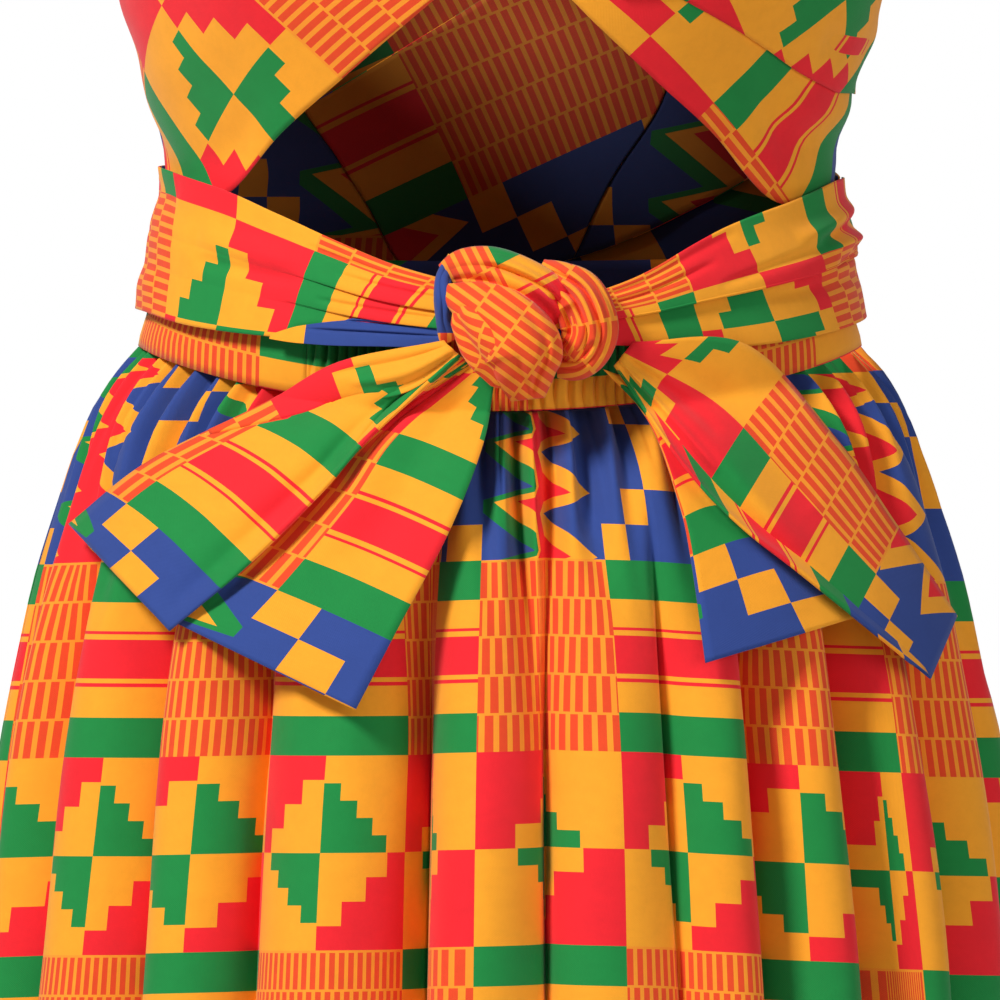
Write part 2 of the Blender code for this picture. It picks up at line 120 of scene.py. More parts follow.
Cut = namedtuple("Cut", "low_angle low high_angle high lift")
BUST_STRIP_LEFT = table(
    Cut, (-95, 67, -95, 214, 0), (-80, 56, -82, 222, 0), (-66, 51, -66, 227, 0.6),
    (-53, 55, -51, 231, 1), (-39.6, 74, -37, 237, 3.6), (-26.7, 93, -24, 244, 3.6),
    (-15.7, 112, -12, 252, 3.6), (-7, 129, -1, 262, 3.6), (1, 146, 8, 274, 3.6),
    (14, 172, 18, 292, 4.4), (30, 215, 28, 318, 4.8), (46, 262, 40, 345, 3.6),
    (62, 310, 54, 368, 1.6), (78, 352, 72, 388, 0.4), (90, 374, 90, 402, 0))
BUST_STRIP_RIGHT = table(
    Cut, (95, 67, 95, 214, 0), (80, 56, 82, 222, 0), (66, 51, 66, 227, 0), (53, 53, 51, 231, 0),
    (39.6, 74, 37, 237, 0), (26.7, 93, 24, 244, 0), (15.7, 113, 12, 252, 0), (8, 130, 1, 262, 0),
    (0, 147, -8, 274, 0), (-13, 172, -18, 292, 0), (-30, 215, -28, 318, 0), (-46, 262, -40, 345, 0),
    (-62, 310, -54, 368, 0), (-78, 352, -72, 388, 0), (-90, 374, -90, 402, 0))
NECK_BAND = table(
    Cut, (90, 374, 90, 402, 0), (115, 382, 115, 408, 0), (145, 386, 145, 411, 0),
    (180, 387, 180, 411, 0), (215, 386, 215, 411, 0), (245, 382, 245, 408, 0),
    (270, 374, 270, 402, 0))
BACK_CROSS_OUTER = table(
    Cut, (-95, 67, -95, 214, 0), (-106, 69, -106, 206, 2), (-118, 70, -120, 192, 2.6),
    (-140, 52, -144, 163, 2.6), (-165, 33, -168, 132, 2.6), (-190, 22, -190, 106, 2.6),
    (-215, 17, -213, 84, 2.6), (-240, 13, -238, 69, 2.6), (-265, 12, -265, 61, 2.4))
BACK_CROSS_INNER = table(
    Cut, (95, 67, 95, 214, 0), (106, 71, 106, 206, 0), (120, 70, 122, 190, 0), (142, 52, 146, 160, 0),
    (166, 33, 169, 130, 0), (190, 22, 190, 102, 0), (215, 17, 213, 80, 0), (240, 14, 240, 66, 0),
    (252, 13.5, 252, 65, 1), (265, 14, 265, 65, 2.4))
WAIST_WRAP_LEFT = table(
    Cut, (-95, 14, -95, 65, 2.4), (-75, 12, -75, 63, 2.8), (-56, 7, -54, 56.5, 4.2),
    (-43, 4, -40, 47.5, 4.4), (-30, 1.8, -28, 38, 5.2), (-19, 0.5, -17, 29, 7), (-8, -1, -6, 22, 11))
WAIST_WRAP_RIGHT = table(
    Cut, (95, 12, 95, 61, 2.4), (75, 8, 75, 59, 2.8), (56, 3, 54, 50.5, 3.4), (44, 0, 42, 44, 4),
    (33, -1.5, 33, 36.5, 5.2), (23, -1, 22, 25, 7.5), (13, 0, 12, 17, 11))

Leaf = namedtuple("Leaf", "edge_x edge_up edge_lift ridge_x ridge_up ridge_lift "
                          "tuck_x tuck_up tuck_lift far_x far_up far_lift")
TAIL_LEFT = table(
    Leaf, (-20, 1, 15, -14.5, -4, 18, -11.6, -6.2, 13, -2, -14, 13),
    (-57.6, -6.5, 10, -46.7, -35, 14, -53, -32, 7, -6, -36, 10),
    (-85, -21.7, 7, -64, -55, 12, -71, -51, 5, -18, -67, 8),
    (-126.7, -42.4, 5.5, -89, -80, 10, -96, -75, 4, -36, -101, 7),
    (-155.3, -64.8, 5, -117.7, -104, 8, -123, -97, 4, -51.8, -131.4, 6))
TAIL_RIGHT = table(
    Leaf, (37, -9, 13, 45.5, -12, 12, 41, -8, 17, 48, 1, 15.5),
    (53.6, -28, 8, 76, -43, 6.5, 66, -46.3, 12, 88.7, 0, 14),
    (64, -56, 6, 97, -61, 5.5, 85, -66.6, 10.5, 121.3, -34, 10),
    (68.4, -76, 5, 119, -74, 5, 108.6, -85, 9.5, 142.3, -63.7, 8),
    (73.8, -114.4, 5, 142, -94, 4.5, 154.6, -121.6, 8, 165, -97.7, 7))

Turn = namedtuple("Turn", "x up out half_width half_thick")
KNOT_FRONT = table(
    Turn, (-13.4, 23.5, 111, 6.5, 7), (-9.4, 15.2, 116, 13, 11), (-2.9, 7.2, 119, 18, 14),
    (4.3, -1.8, 120, 18.5, 14), (9, -12, 117, 14, 12), (11.2, -19.2, 111, 7.5, 8))
KNOT_TOP = table(
    Turn, (-12.7, 28.6, 105, 4.5, 5), (-4.7, 27.2, 109, 8.5, 8), (5, 23.5, 112, 11.5, 10),
    (15, 15.5, 113, 11, 10), (21.7, 7.3, 110, 7, 7))
KNOT_SIDE = table(
    Turn, (12.7, 29.3, 105, 3.5, 5), (20.3, 24, 108, 7, 7), (28.5, 14, 111, 11.5, 10),
    (31, 3.6, 112, 13, 11), (26.5, -5.6, 110, 12, 10), (19.5, -8.3, 106, 6, 7))
print("main folds round the skirt:", len(FOLDS))

# %% [markdown]
# ## Curves through the tables
#
# Each table is a short list of sections. A curve through them gives every place between, so that a
# few measured rows make a smooth form. The curve is the same cubic that the solids use.


# %% Reading the tables
def place(x, height, depth):
    """A point of the garment in metres, from the neck hold; depth is in front of the axis."""
    return Vector((x, -depth - NECK_DEPTH, height - NECK_HEIGHT)) * MM


def mix(a, b, t):
    return a + (b - a) * t


def ease(t):
    """0 to 1 with level ends."""
    t = min(max(t, 0.0), 1.0)
    return t * t * (3.0 - 2.0 * t)


def read(rows, key, value):
    """Every column of a table at one value of its key column, on a smooth curve through the rows."""
    keys = [getattr(row, key) for row in rows]
    value = min(max(value, keys[0]), keys[-1])
    last = len(rows) - 2
    i = min(max(sum(1 for k in keys if k <= value) - 1, 0), last)
    t = (value - keys[i]) / (keys[i + 1] - keys[i])
    return along(rows, (i + t) / (len(rows) - 1), keys)


def along(rows, share, keys=None):
    """Every column of a table part of the way down it, on a smooth curve through the rows."""
    keys = keys or list(range(len(rows)))
    place_in_rows = min(max(share, 0.0), 1.0) * (len(rows) - 1)
    i = min(int(place_in_rows), len(rows) - 2)
    t = place_in_rows - i
    span = keys[i + 1] - keys[i]
    before, after = max(i - 1, 0), min(i + 2, len(rows) - 1)
    columns = []
    for column in zip(rows[before], rows[i], rows[i + 1], rows[after]):
        slope_a = (column[2] - column[0]) / (keys[i + 1] - keys[before]) * span
        slope_b = (column[3] - column[1]) / (keys[after] - keys[i]) * span
        a, b = column[1], column[2]
        columns.append((2 * t**3 - 3 * t**2 + 1) * a + (t**3 - 2 * t**2 + t) * slope_a
                       + (3 * t**2 - 2 * t**3) * b + (t**3 - t**2) * slope_b)
    return type(rows[0])(*columns)


def running(points):
    """Length walked at each of a row of points, in millimetres."""
    lengths = [0.0]
    for before, after in zip(points, points[1:]):
        lengths.append(lengths[-1] + (after - before).length / MM)
    return lengths


def cup(angle, height):
    """How far the soft cups stand out from the body's oval."""
    side = (abs(angle) - CUP_ANGLE) / CUP_SPREAD_ANGLE
    up = (height - CUP_HEIGHT) / CUP_SPREAD_HEIGHT
    return CUP_DEPTH * math.exp(-side * side - up * up)


def on_body(angle, height, lift):
    """A point on the wound cloth; angle 0 is the front centre and 90 the right side."""
    angle = (angle + 180.0) % 360.0 - 180.0
    form = read(BODY_FORM, "height", height)
    turn = math.radians(angle)
    reach = form.front if abs(angle) < 90.0 else form.back
    lift += cup(angle, height)
    return place((form.half_width + lift) * math.sin(turn), height, (reach + lift) * math.cos(turn))


def band_edge(angle):
    """Height of the seam between band and skirt."""
    level = math.cos(math.radians(angle))
    if level > 0.0:
        return -BAND_DIP_FRONT * level**1.6
    return -BAND_DIP_BACK * -level


def over_band(angle, height):
    """How far the scarf lies out where it passes over the waistband."""
    above = height - band_edge(angle) - BAND_HEIGHT
    return LAYER * ease(1.2 - above / BAND_COVER)


print("waist seam at the front:", round(band_edge(0.0), 1), "mm")

# %% [markdown]
# ## Studio
#
# The dress is seen level from the front through a long lens, so its sides hardly turn away. Broad
# soft lights stand left, right and behind, as for a catalogue picture, in a white room.

# %% Camera, lights and floor
VIEW_WIDTH = 0.362          # how much of the dress the picture spans, in metres
VIEW_HEIGHT = -56.0         # height of the picture's centre above the waist seam, in millimetres
CAMERA_DISTANCE = 14.0
CLIP_END = 80.0
SENSOR = 36.0
FLOOR_GAP = 0.004
FLOOR_SIZE = 1.6

camera_data = bpy.data.cameras.new("camera")
camera_data.sensor_width = SENSOR
camera_data.lens = SENSOR * CAMERA_DISTANCE / VIEW_WIDTH
camera_data.clip_end = CLIP_END
camera = bpy.data.objects.new("camera", camera_data)
bpy.context.scene.collection.objects.link(camera)
camera.location = place(0.0, VIEW_HEIGHT, 0.0) - Vector((0.0, CAMERA_DISTANCE, 0.0))
camera.rotation_euler = (math.radians(90.0), 0.0, 0.0)
bpy.context.scene.camera = camera

Lamp = namedtuple("Lamp", "name x height depth width power")
LAMPS = (
    Lamp("key", -1.5, 1.7, 1.6, 0.6, 76.0),
    Lamp("fill", 2.0, 0.4, 1.8, 1.4, 20.0),
    Lamp("back", 0.0, 0.4, -2.4, 3.2, 32.0),
)
for lamp in LAMPS:
    light = bpy.data.lights.new(lamp.name, "AREA")
    light.size = lamp.width
    light.energy = lamp.power
    stand = bpy.data.objects.new(lamp.name, light)
    stand.visible_camera = False
    bpy.context.scene.collection.objects.link(stand)
    centre = place(0.0, 0.0, 0.0)
    stand.location = centre + Vector((lamp.x, -lamp.depth, lamp.height))
    stand.rotation_euler = (centre - stand.location).to_track_quat("-Z", "Y").to_euler()

bpy.context.scene.view_settings.view_transform = "Standard"

ROOM_LIGHT = 0.17           # what the white room adds from all sides
studio = bpy.data.worlds.new("studio")
bpy.context.scene.world = studio
studio.use_nodes = True
room = studio.node_tree
room_light = room.nodes["Background"]
white_paper = room.nodes.new("ShaderNodeBackground")
for background in (room_light, white_paper):
    background.inputs["Color"].default_value = (1.0, 1.0, 1.0, 1.0)
room_light.inputs["Strength"].default_value = ROOM_LIGHT
seen = room.nodes.new("ShaderNodeLightPath")
choice = room.nodes.new("ShaderNodeMixShader")
for number, output in enumerate((seen.outputs["Is Camera Ray"], room_light.outputs[0],
                                 white_paper.outputs[0])):
    room.links.new(output, choice.inputs[number])
room.links.new(choice.outputs[0], room.nodes["World Output"].inputs["Surface"])

floor_shape = bmesh.new()
bmesh.ops.create_grid(floor_shape, x_segments=1, y_segments=1, size=FLOOR_SIZE)
floor_data = bpy.data.meshes.new("floor")
floor_shape.to_mesh(floor_data)
floor_shape.free()
floor = bpy.data.objects.new("floor", floor_data)
floor.location = (0.0, 0.0, cad_box[0][2] - FLOOR_GAP)
bpy.context.scene.collection.objects.link(floor)
print("lens:", round(camera_data.lens), "mm")

# %% [markdown]
# ## Wax-print cotton poplin
#
# Wax print is plain-woven cotton, about 0.3 mm thick, printed with resist and dye on both faces. It
# is matt with a faint crispness, and its colours are flat and strong. The pattern here is a kente
# design: blocks 84 mm wide that take turns between stripes, checks, zigzags, sticks and steps.
#
# An image would blur close up, so the pattern is worked out from each point's place on the cloth, in
# millimetres, by Math nodes.


# %% Colours and the node helper
def linear(hex_colour):
    """An sRGB hex colour as the linear numbers that Blender works in."""
    channels = []
    for i in (1, 3, 5):
        value = int(hex_colour[i:i + 2], 16) / 255.0
        channels.append(value / 12.92 if value <= 0.04045 else ((value + 0.055) / 1.055)**2.4)
    return (*channels, 1.0)


def add(tree, kind, settings, *links):
    """Adds a node with its settings, and links or sets its inputs in order; None leaves one alone."""
    made = tree.nodes.new(kind)
    for name, value in settings.items():
        setattr(made, name, value)
    for place_in_row, value in enumerate(links):
        if value is None:
            continue
        if isinstance(value, bpy.types.NodeSocket):
            tree.links.new(value, made.inputs[place_in_row])
        else:
            made.inputs[place_in_row].default_value = value
    return made


YELLOW = linear("#FFA726")
RED = linear("#F4202C")
STICK = linear("#EE4A20")
STICK_GROUND = linear("#FF9A28")
GREEN = linear("#15883E")
BLUE = linear("#2F4890")
print("yellow, linear:", [round(c, 3) for c in YELLOW[:3]])

# %% [markdown]
# The sum starts from u, across the cloth, and v, along it. A block is 84 mm wide, two blocks side by
# side make the repeat across, and four rows make the repeat down. Below, u and v stand for nodes.

# %% The pattern in formulas
BLOCK = 84.0                # width of a block; two blocks make the repeat
TOP_ROW = 82.5              # height of the checks and zigzags
ROW = 72.5                  # height of each of the three rows below them
REPEAT = TOP_ROW + 3.0 * ROW
CHECK_WIDE = BLOCK / 6.0
CHECK_HIGH = TOP_ROW / 6.0
CHECK_MIDDLE = 2.5
STICK_PITCH = 4.0
STICK_WIDE = 2.4
STICK_HIGH = ROW / 5.0
STICK_LINE = 0.9
STICK_SHIFT = 1.5
RED_STEP_WIDE = 10.4
RED_STEP_HIGH = ROW / 8.0
GREEN_STEP_WIDE = 7.6
GREEN_STEP_HIGH = 6.5
ZIGZAG = 24.6               # from one point of a zigzag to the next
LEFT_START = 18.8
LEFT_OUT = 5.2              # how steeply the left edge swings out, and back in again
LEFT_IN = 1.45
RIGHT_START = 8.3
RIGHT_OUT = 1.4
RIGHT_IN = 2.75
SAME_CHECK = 0.25           # checks are yellow where both counts from the middle agree
ZIGZAG_TURN = 0.55          # share of the block at which the right-hand bands begin


def math_node(operation):
    """A method that adds one Math node."""
    def method(*terms):
        tree = terms[0].tree
        links = [term.socket if isinstance(term, Number) else term for term in terms]
        made = add(tree, "ShaderNodeMath", {"operation": operation}, *links)
        return Number(tree, made.outputs["Value"])
    return method


class Number:
    """A number on its way through Math nodes; each of Python's signs adds the node it stands for."""

    def __init__(self, tree, socket):
        self.tree, self.socket = tree, socket

    __add__, __sub__, __mul__ = math_node("ADD"), math_node("SUBTRACT"), math_node("MULTIPLY")
    __truediv__, __mod__ = math_node("DIVIDE"), math_node("FLOORED_MODULO")
    __lt__, __gt__ = math_node("LESS_THAN"), math_node("GREATER_THAN")
    __abs__, floor, least = math_node("ABSOLUTE"), math_node("FLOOR"), math_node("MINIMUM")

    def __rsub__(self, other):
        return self * -1.0 + other

    def __floordiv__(self, other):
        return (self / other).floor()


def print_group():
    """The kente pattern as a node group: place on the cloth in, colour out."""
    tree = bpy.data.node_groups.new("kente print", "ShaderNodeTree")
    tree.interface.new_socket("Place", in_out="INPUT", socket_type="NodeSocketVector")
    tree.interface.new_socket("Colour", in_out="OUTPUT", socket_type="NodeSocketColor")
    entry = add(tree, "NodeGroupInput", {})
    exit_node = add(tree, "NodeGroupOutput", {})
    scaled = add(tree, "ShaderNodeVectorMath", {"operation": "SCALE"}, entry.outputs["Place"])
    scaled.inputs["Scale"].default_value = 1.0 / MM
    split = add(tree, "ShaderNodeSeparateXYZ", {}, scaled.outputs["Vector"])
    u, v = Number(tree, split.outputs["X"]), Number(tree, split.outputs["Y"])

    def bands(share, *stops):
        """Flat bands of colour, each from its own share on."""
        node = add(tree, "ShaderNodeValToRGB", {}, share.socket)
        ramp = node.color_ramp
        ramp.interpolation = "CONSTANT"
        for number, (start, colour) in enumerate(stops):
            element = ramp.elements[number] if number < 2 else ramp.elements.new(start)
            element.position, element.color = start, colour
        return node.outputs["Color"]

    def choose(mask, off, on):
        made_mix = add(tree, "ShaderNodeMix", {"data_type": "RGBA"}, mask.socket)
        for socket, colour in ((made_mix.inputs[6], off), (made_mix.inputs[7], on)):
            if isinstance(colour, tuple):
                socket.default_value = colour
            else:
                tree.links.new(colour, socket)
        return made_mix.outputs[2]

    down, x = v % REPEAT, u % BLOCK
    first_column = u % (2.0 * BLOCK) < BLOCK
    y = (down - TOP_ROW) % (2.0 * ROW)
    in_stripes = abs(first_column - (down > TOP_ROW + 2.0 * ROW))
    stripes = bands(y / ROW, (0.0, GREEN), (0.205, YELLOW), (0.355, RED), (0.371, YELLOW),
                    (0.396, RED), (0.596, YELLOW), (0.621, RED), (0.637, YELLOW), (0.795, GREEN))

    # sticks: short upright bars in five rows, with a thin line between the rows
    stick_x = (x + y // STICK_HIGH * STICK_SHIFT) % STICK_PITCH
    stick = (stick_x < STICK_WIDE) * (y % STICK_HIGH > STICK_LINE)
    lower_rows = choose(in_stripes, choose(stick, STICK_GROUND, STICK), stripes)

    # checks: six cells by six, yellow along both slanting lines through the middle
    from_middle = abs(x // CHECK_WIDE - CHECK_MIDDLE) - abs(down // CHECK_HIGH - CHECK_MIDDLE)
    checks = choose(abs(from_middle) < SAME_CHECK, BLUE, YELLOW)

    # zigzags: bands between two toothed edges, whose teeth rise and fall unevenly
    def swing(start, way_out, way_in):
        tooth = (down + start) % ZIGZAG
        return (tooth * way_out).least((ZIGZAG - tooth) * way_in)

    from_left = (x + swing(LEFT_START, LEFT_OUT, LEFT_IN)) / BLOCK
    from_right = (x - swing(RIGHT_START, RIGHT_OUT, RIGHT_IN)) / BLOCK
    zigzags = choose(from_right > ZIGZAG_TURN,
                     bands(from_left, (0.0, BLUE), (0.262, GREEN), (0.393, YELLOW), (0.530, RED)),
                     bands(from_right, (0.0, RED), (ZIGZAG_TURN, YELLOW), (0.69, BLUE)))

    # steps: the lower half of a block is its upper half turned upside down
    step_y = y - ROW
    lower = step_y > ROW / 2.0
    step_x = x + (x * -2.0 + BLOCK) * lower
    step_y = step_y + (step_y * -2.0 + ROW) * lower
    left_half = step_x < BLOCK / 2.0
    red_wide = step_y // RED_STEP_HIGH * -RED_STEP_WIDE + BLOCK / 2.0
    red = (step_x < red_wide) * left_half
    green_level = (ROW / 2.0 - step_y) // GREEN_STEP_HIGH
    green_wide = green_level * -GREEN_STEP_WIDE + (BLOCK / 2.0 + 4.0 * GREEN_STEP_WIDE)
    green = (step_x < green_wide) * (1.0 - left_half)
    steps = choose(green, choose(red, YELLOW, RED), GREEN)

    top_row = choose(first_column, zigzags, checks)
    colour = choose(down < TOP_ROW, choose(y > ROW, lower_rows, steps), top_row)
    tree.links.new(colour, exit_node.inputs["Colour"])
    return tree


kente = print_group()
print("nodes in the pattern:", len(kente.nodes))

# %% [markdown]
# Poplin is woven with about 35 threads to the centimetre. That is finer than a picture of the whole
# dress can show, so the threads are drawn 0.7 mm apart, just enough to break up the shine. A slow
# noise makes the dye a little uneven, as it is where the resist let some through.

# %% The finish of the cloth
THREAD_PITCH = 0.7
DYE_PATCH = 9.0             # millimetres
DYE = {"Scale": 1000.0 / DYE_PATCH, "Detail": 6.0, "Roughness": 0.75}
DYE_NOISE = (0.25, 0.75)    # the noise between these becomes a brightness between the next two
DYE_LEVELS = (0.93, 1.05)
WEAVE = {"Strength": 0.16, "Distance": 0.0002}
COTTON = {"Roughness": 0.82, "Sheen Weight": 0.12, "Sheen Roughness": 0.5, "IOR": 1.45,
          "Specular IOR Level": 0.3}


def fill_in(node, values):
    for name, value in values.items():
        node.inputs[name].default_value = value


def wax_print(name, brightness=1.0):
    """Wax-print cotton poplin: the pattern, uneven dye, a fine weave, and painted shade below
    brightness 1.
    """
    cloth_finish = bpy.data.materials.new(name)
    cloth_finish.use_nodes = True
    tree = cloth_finish.node_tree
    shader = tree.nodes["Principled BSDF"]
    spot = add(tree, "ShaderNodeUVMap", {"uv_map": "cloth"}).outputs["UV"]
    pattern = add(tree, "ShaderNodeGroup", {"node_tree": kente}, spot).outputs["Colour"]
    dye = add(tree, "ShaderNodeTexNoise", {}, spot)
    fill_in(dye, DYE)
    # uneven dye, scaled by the brightness, which paints shade into the colour where it is below 1
    uneven = add(tree, "ShaderNodeMapRange", {}, dye.outputs["Fac"], *DYE_NOISE,
                 *[brightness * level for level in DYE_LEVELS])
    dyed_and_painted_shade = add(tree, "ShaderNodeVectorMath", {"operation": "SCALE"}, pattern)
    tree.links.new(uneven.outputs["Result"], dyed_and_painted_shade.inputs["Scale"])
    tree.links.new(dyed_and_painted_shade.outputs["Vector"], shader.inputs["Base Color"])
    split = add(tree, "ShaderNodeSeparateXYZ", {}, spot)
    threads = []
    for axis in ("X", "Y"):
        turn = add(tree, "ShaderNodeMath", {"operation": "MULTIPLY"}, split.outputs[axis],
                   2000.0 * math.pi / THREAD_PITCH)
        threads.append(add(tree, "ShaderNodeMath", {"operation": "SINE"}, turn.outputs["Value"]))
    woven = add(tree, "ShaderNodeMath", {"operation": "MULTIPLY"},
                threads[0].outputs["Value"], threads[1].outputs["Value"])
    slub = add(tree, "ShaderNodeMath", {"operation": "ADD"}, woven.outputs["Value"],
               dye.outputs["Fac"])
    bump = add(tree, "ShaderNodeBump", {})
    fill_in(bump, WEAVE)
    tree.links.new(slub.outputs["Value"], bump.inputs["Height"])
    tree.links.new(bump.outputs["Normal"], shader.inputs["Normal"])
    fill_in(shader, COTTON)
    return cloth_finish


poplin = wax_print("wax-print cotton poplin")
# painted shade: a copy of the poplin whose colour is darkened, for the cloth deep inside the bodice
SHADE_INSIDE = 0.34         # how much light is left deep inside the bodice
painted_shade_poplin = wax_print("wax-print cotton poplin, in the shade of the bodice", SHADE_INSIDE)
print("made", poplin.name)

# %% [markdown]
# ## Sheets of cloth
#
# Every piece starts as a flat grid that is bent onto a surface, with two sets of coordinates: one in
# metres on the cloth, for the pattern and weave, and one that fills a square, for baking. The
# Solidify modifier then gives it the thickness of doubled poplin, on the body's side, so that its
# outer face stays where the solid's is.

# %% Making a sheet
CLOTH_WALL = 0.6


def shown(name, shape, finish=None):
    """Makes an object of a shape, in the scene."""
    mesh = bpy.data.meshes.new(name)
    shape.to_mesh(mesh)
    shape.free()
    piece = bpy.data.objects.new(name, mesh)
    bpy.context.scene.collection.objects.link(piece)
    if finish:
        piece.data.materials.append(finish)
    return piece


def sheet_of(name, surface, across, lengthwise, finish, facing_in):
    """A sheet bent onto surface(share across, share along), which gives a point and its u and v."""
    grid = bmesh.new()
    bmesh.ops.create_grid(grid, x_segments=across, y_segments=lengthwise, size=1.0)
    pattern_map = grid.loops.layers.uv.new("cloth")
    bake_map = grid.loops.layers.uv.new("OFBake")
    spots = {}
    for vertex in grid.verts:
        shares = ((vertex.co.x + 1.0) / 2.0, (vertex.co.y + 1.0) / 2.0)
        point, u, v = surface(*shares)
        spots[vertex] = (shares, (u * MM, v * MM))
        vertex.co = point
    for face in grid.faces:
        face.smooth = True
        for loop in face.loops:
            shares, on_cloth = spots[loop.vert]
            loop[pattern_map].uv = on_cloth
            loop[bake_map].uv = shares
    if facing_in:
        bmesh.ops.reverse_faces(grid, faces=grid.faces)
    piece = shown(name, grid, finish)
    thickness = piece.modifiers.new("Poplin", "SOLIDIFY")
    thickness.thickness = CLOTH_WALL * MM
    thickness.offset = -1.0
    return piece


def settle(piece, node):
    """Puts a finished piece in the place of its solid."""
    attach(piece, "root")
    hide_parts(node)
    print(piece.name, "faces:", len(piece.data.polygons))


def lay_cloth(name, node, surface, grid, finish=poplin, facing_in=False):
    """Makes a sheet in place of its solid."""
    piece = sheet_of(name, surface, *grid, finish, facing_in)
    settle(piece, node)


print("cloth wall:", CLOTH_WALL, "mm")

# %% [markdown]
# Creases are what make cloth look like cloth. Each is a soft trough or ridge along a line on the
# sheet, given in shares of its width and length, and it fades at both ends.

# %% Creases
Crease = namedtuple("Crease", "from_across from_along to_across to_along width depth")


def creased(creases, width, length, across, lengthwise):
    """Height of a table of creases at one place on a sheet, in millimetres."""
    height = 0.0
    spot = Vector((across * width, lengthwise * length))
    for crease in creases:
        start = Vector((crease.from_across * width, crease.from_along * length))
        line = Vector((crease.to_across * width, crease.to_along * length)) - start
        share = (spot - start).dot(line) / line.length_squared
        nearest = start + line * min(max(share, 0.0), 1.0)
        far = (spot - nearest).length / crease.width
        fade = 1.0 - (2.0 * min(max(share, 0.0), 1.0) - 1.0)**4
        height += crease.depth * fade * math.exp(-far * far)
    return height


def rounded(points, share):
    """A point on the curve that a row of corners pulls, which never swings past them."""
    spans = len(points) - 2
    i = min(int(share * spans), spans - 1)
    t = share * spans - i
    start = points[0] if i == 0 else (points[i] + points[i + 1]) / 2.0
    end = points[-1] if i == spans - 1 else (points[i + 1] + points[i + 2]) / 2.0
    return start * (1.0 - t)**2 + points[i + 1] * 2.0 * t * (1.0 - t) + end * t * t


# %% [markdown]
# ## Skirt
#
# Two straight widths of cloth are gathered into the band. Right under the seam the gathers are small
# and close, and lower down they join into about twenty deep folds that open towards the hem. The
# sheet is laid out in fold numbers rather than angles, so that a column of cloth stays in its own
# fold from waist to hem, and the pattern's columns hang straight, as they do on the real skirt.


# %% Folds of the skirt
FOLDS_AT_BAND = 62          # the gathers as they hang below the stitching
PUCKERS = 118               # the smallest gathers, right under the stitching
PUCKER_DEPTH = 6.0
GATHER_FULLNESS = 3.3       # the cloth is deeper in its gathers than the solid
VALLEY_CREASE = 10.0        # the sharp bottom of a fold, deeper than the solid's
VALLEY_WIDE = 0.085
SOFT_WAVE = 1.3


def fold_valley(index, share):
    """Angle of a valley, going on past either end of the table by whole turns."""
    turns, row = divmod(index, len(FOLDS))
    return mix(FOLDS[row].waist, FOLDS[row].hem, share) + 360.0 * turns


def fold_number(angle, share):
    """Which fold an angle is in, and how far across it, as one number."""
    index = -2 * len(FOLDS)
    while fold_valley(index + 1, share) <= angle:
        index += 1
    start, end = fold_valley(index, share), fold_valley(index + 1, share)
    return index + (angle - start) / (end - start)


def gathers(angle, drop):
    """Small gathers under the band, each with its own depth and length."""
    turn = math.radians(angle)
    uneven = 0.75 + 0.45 * math.sin(7.0 * turn + 1.3) * math.sin(3.0 * turn)
    length = GATHER_FADE * (1.5 + 0.6 * math.sin(13.0 * turn + 0.6) + 0.35 * math.sin(29.0 * turn))
    sway = 0.9 * math.sin(5.0 * turn) * math.sin(math.pi * drop / GATHER_FADE)
    wave = math.cos(FOLDS_AT_BAND * turn + 1.1 * math.sin(8.0 * turn) + sway)
    pinch = 1.0 - abs(math.sin(0.5 * PUCKERS * turn + 0.9 * math.sin(11.0 * turn)))
    return (GATHER_FULLNESS * GATHER_DEPTH * uneven * ease(1.0 - drop / length) * (wave - 1.0)
            - PUCKER_DEPTH * (0.6 + 0.5 * uneven) * ease(1.0 - drop / (0.55 * length)) * pinch**2)


def on_skirt(number, drop, form):
    """A point on the skirt's outer face at a fold number and a drop below the band."""
    share = drop / SKIRT_LENGTH
    size = ease((drop - FOLD_START) / (FOLD_FULL - FOLD_START))
    index = math.floor(number)
    t = number - index
    start, end = fold_valley(index, share), fold_valley(index + 1, share)
    angle = mix(start, end, t)
    shift = -FOLD_PINCH * (end - start) * math.sin(2.0 * math.pi * t) / (2.0 * math.pi)
    rows = len(FOLDS)
    depth = mix(FOLDS[index % rows].depth, FOLDS[(index + 1) % rows].depth, ease(t))
    sink = depth * 0.5 * (1.0 + math.cos(2.0 * math.pi * t))
    uneven = 0.62 + 0.38 * math.sin(2.4 * (index % rows) + drop / 90.0)
    sharp = math.exp(-(t / VALLEY_WIDE)**2) + math.exp(-((1.0 - t) / VALLEY_WIDE)**2)
    soft = math.sin(5.3 * number + drop / 70.0) * math.sin(drop / 38.0 + 2.1 * number)
    turn = math.radians(angle + shift * size)
    out = gathers(angle, drop) - sink * size + SOFT_WAVE * soft * size
    out -= VALLEY_CREASE * uneven * sharp * size * (1.0 - 0.5 * share)
    reach = form.front if math.cos(turn) > 0.0 else form.back
    level = mix(band_edge(angle), 0.0, ease(share)) - SEAM_GAP - drop
    return place((form.half_width + out) * math.sin(turn), level, (reach + out) * math.cos(turn))


print("folds between the side seams:",
      round(fold_number(90.0, 0.5) - fold_number(-90.0, 0.5), 1))

# %% [markdown]
# The pattern's place across the skirt follows the length of cloth that the folds take up. Where a
# fold hides more cloth than its walls can hold, a short table says which part of the pattern comes
# out on the other side. Down the skirt the pattern follows the slope, from one level that is nearly
# straight all round.

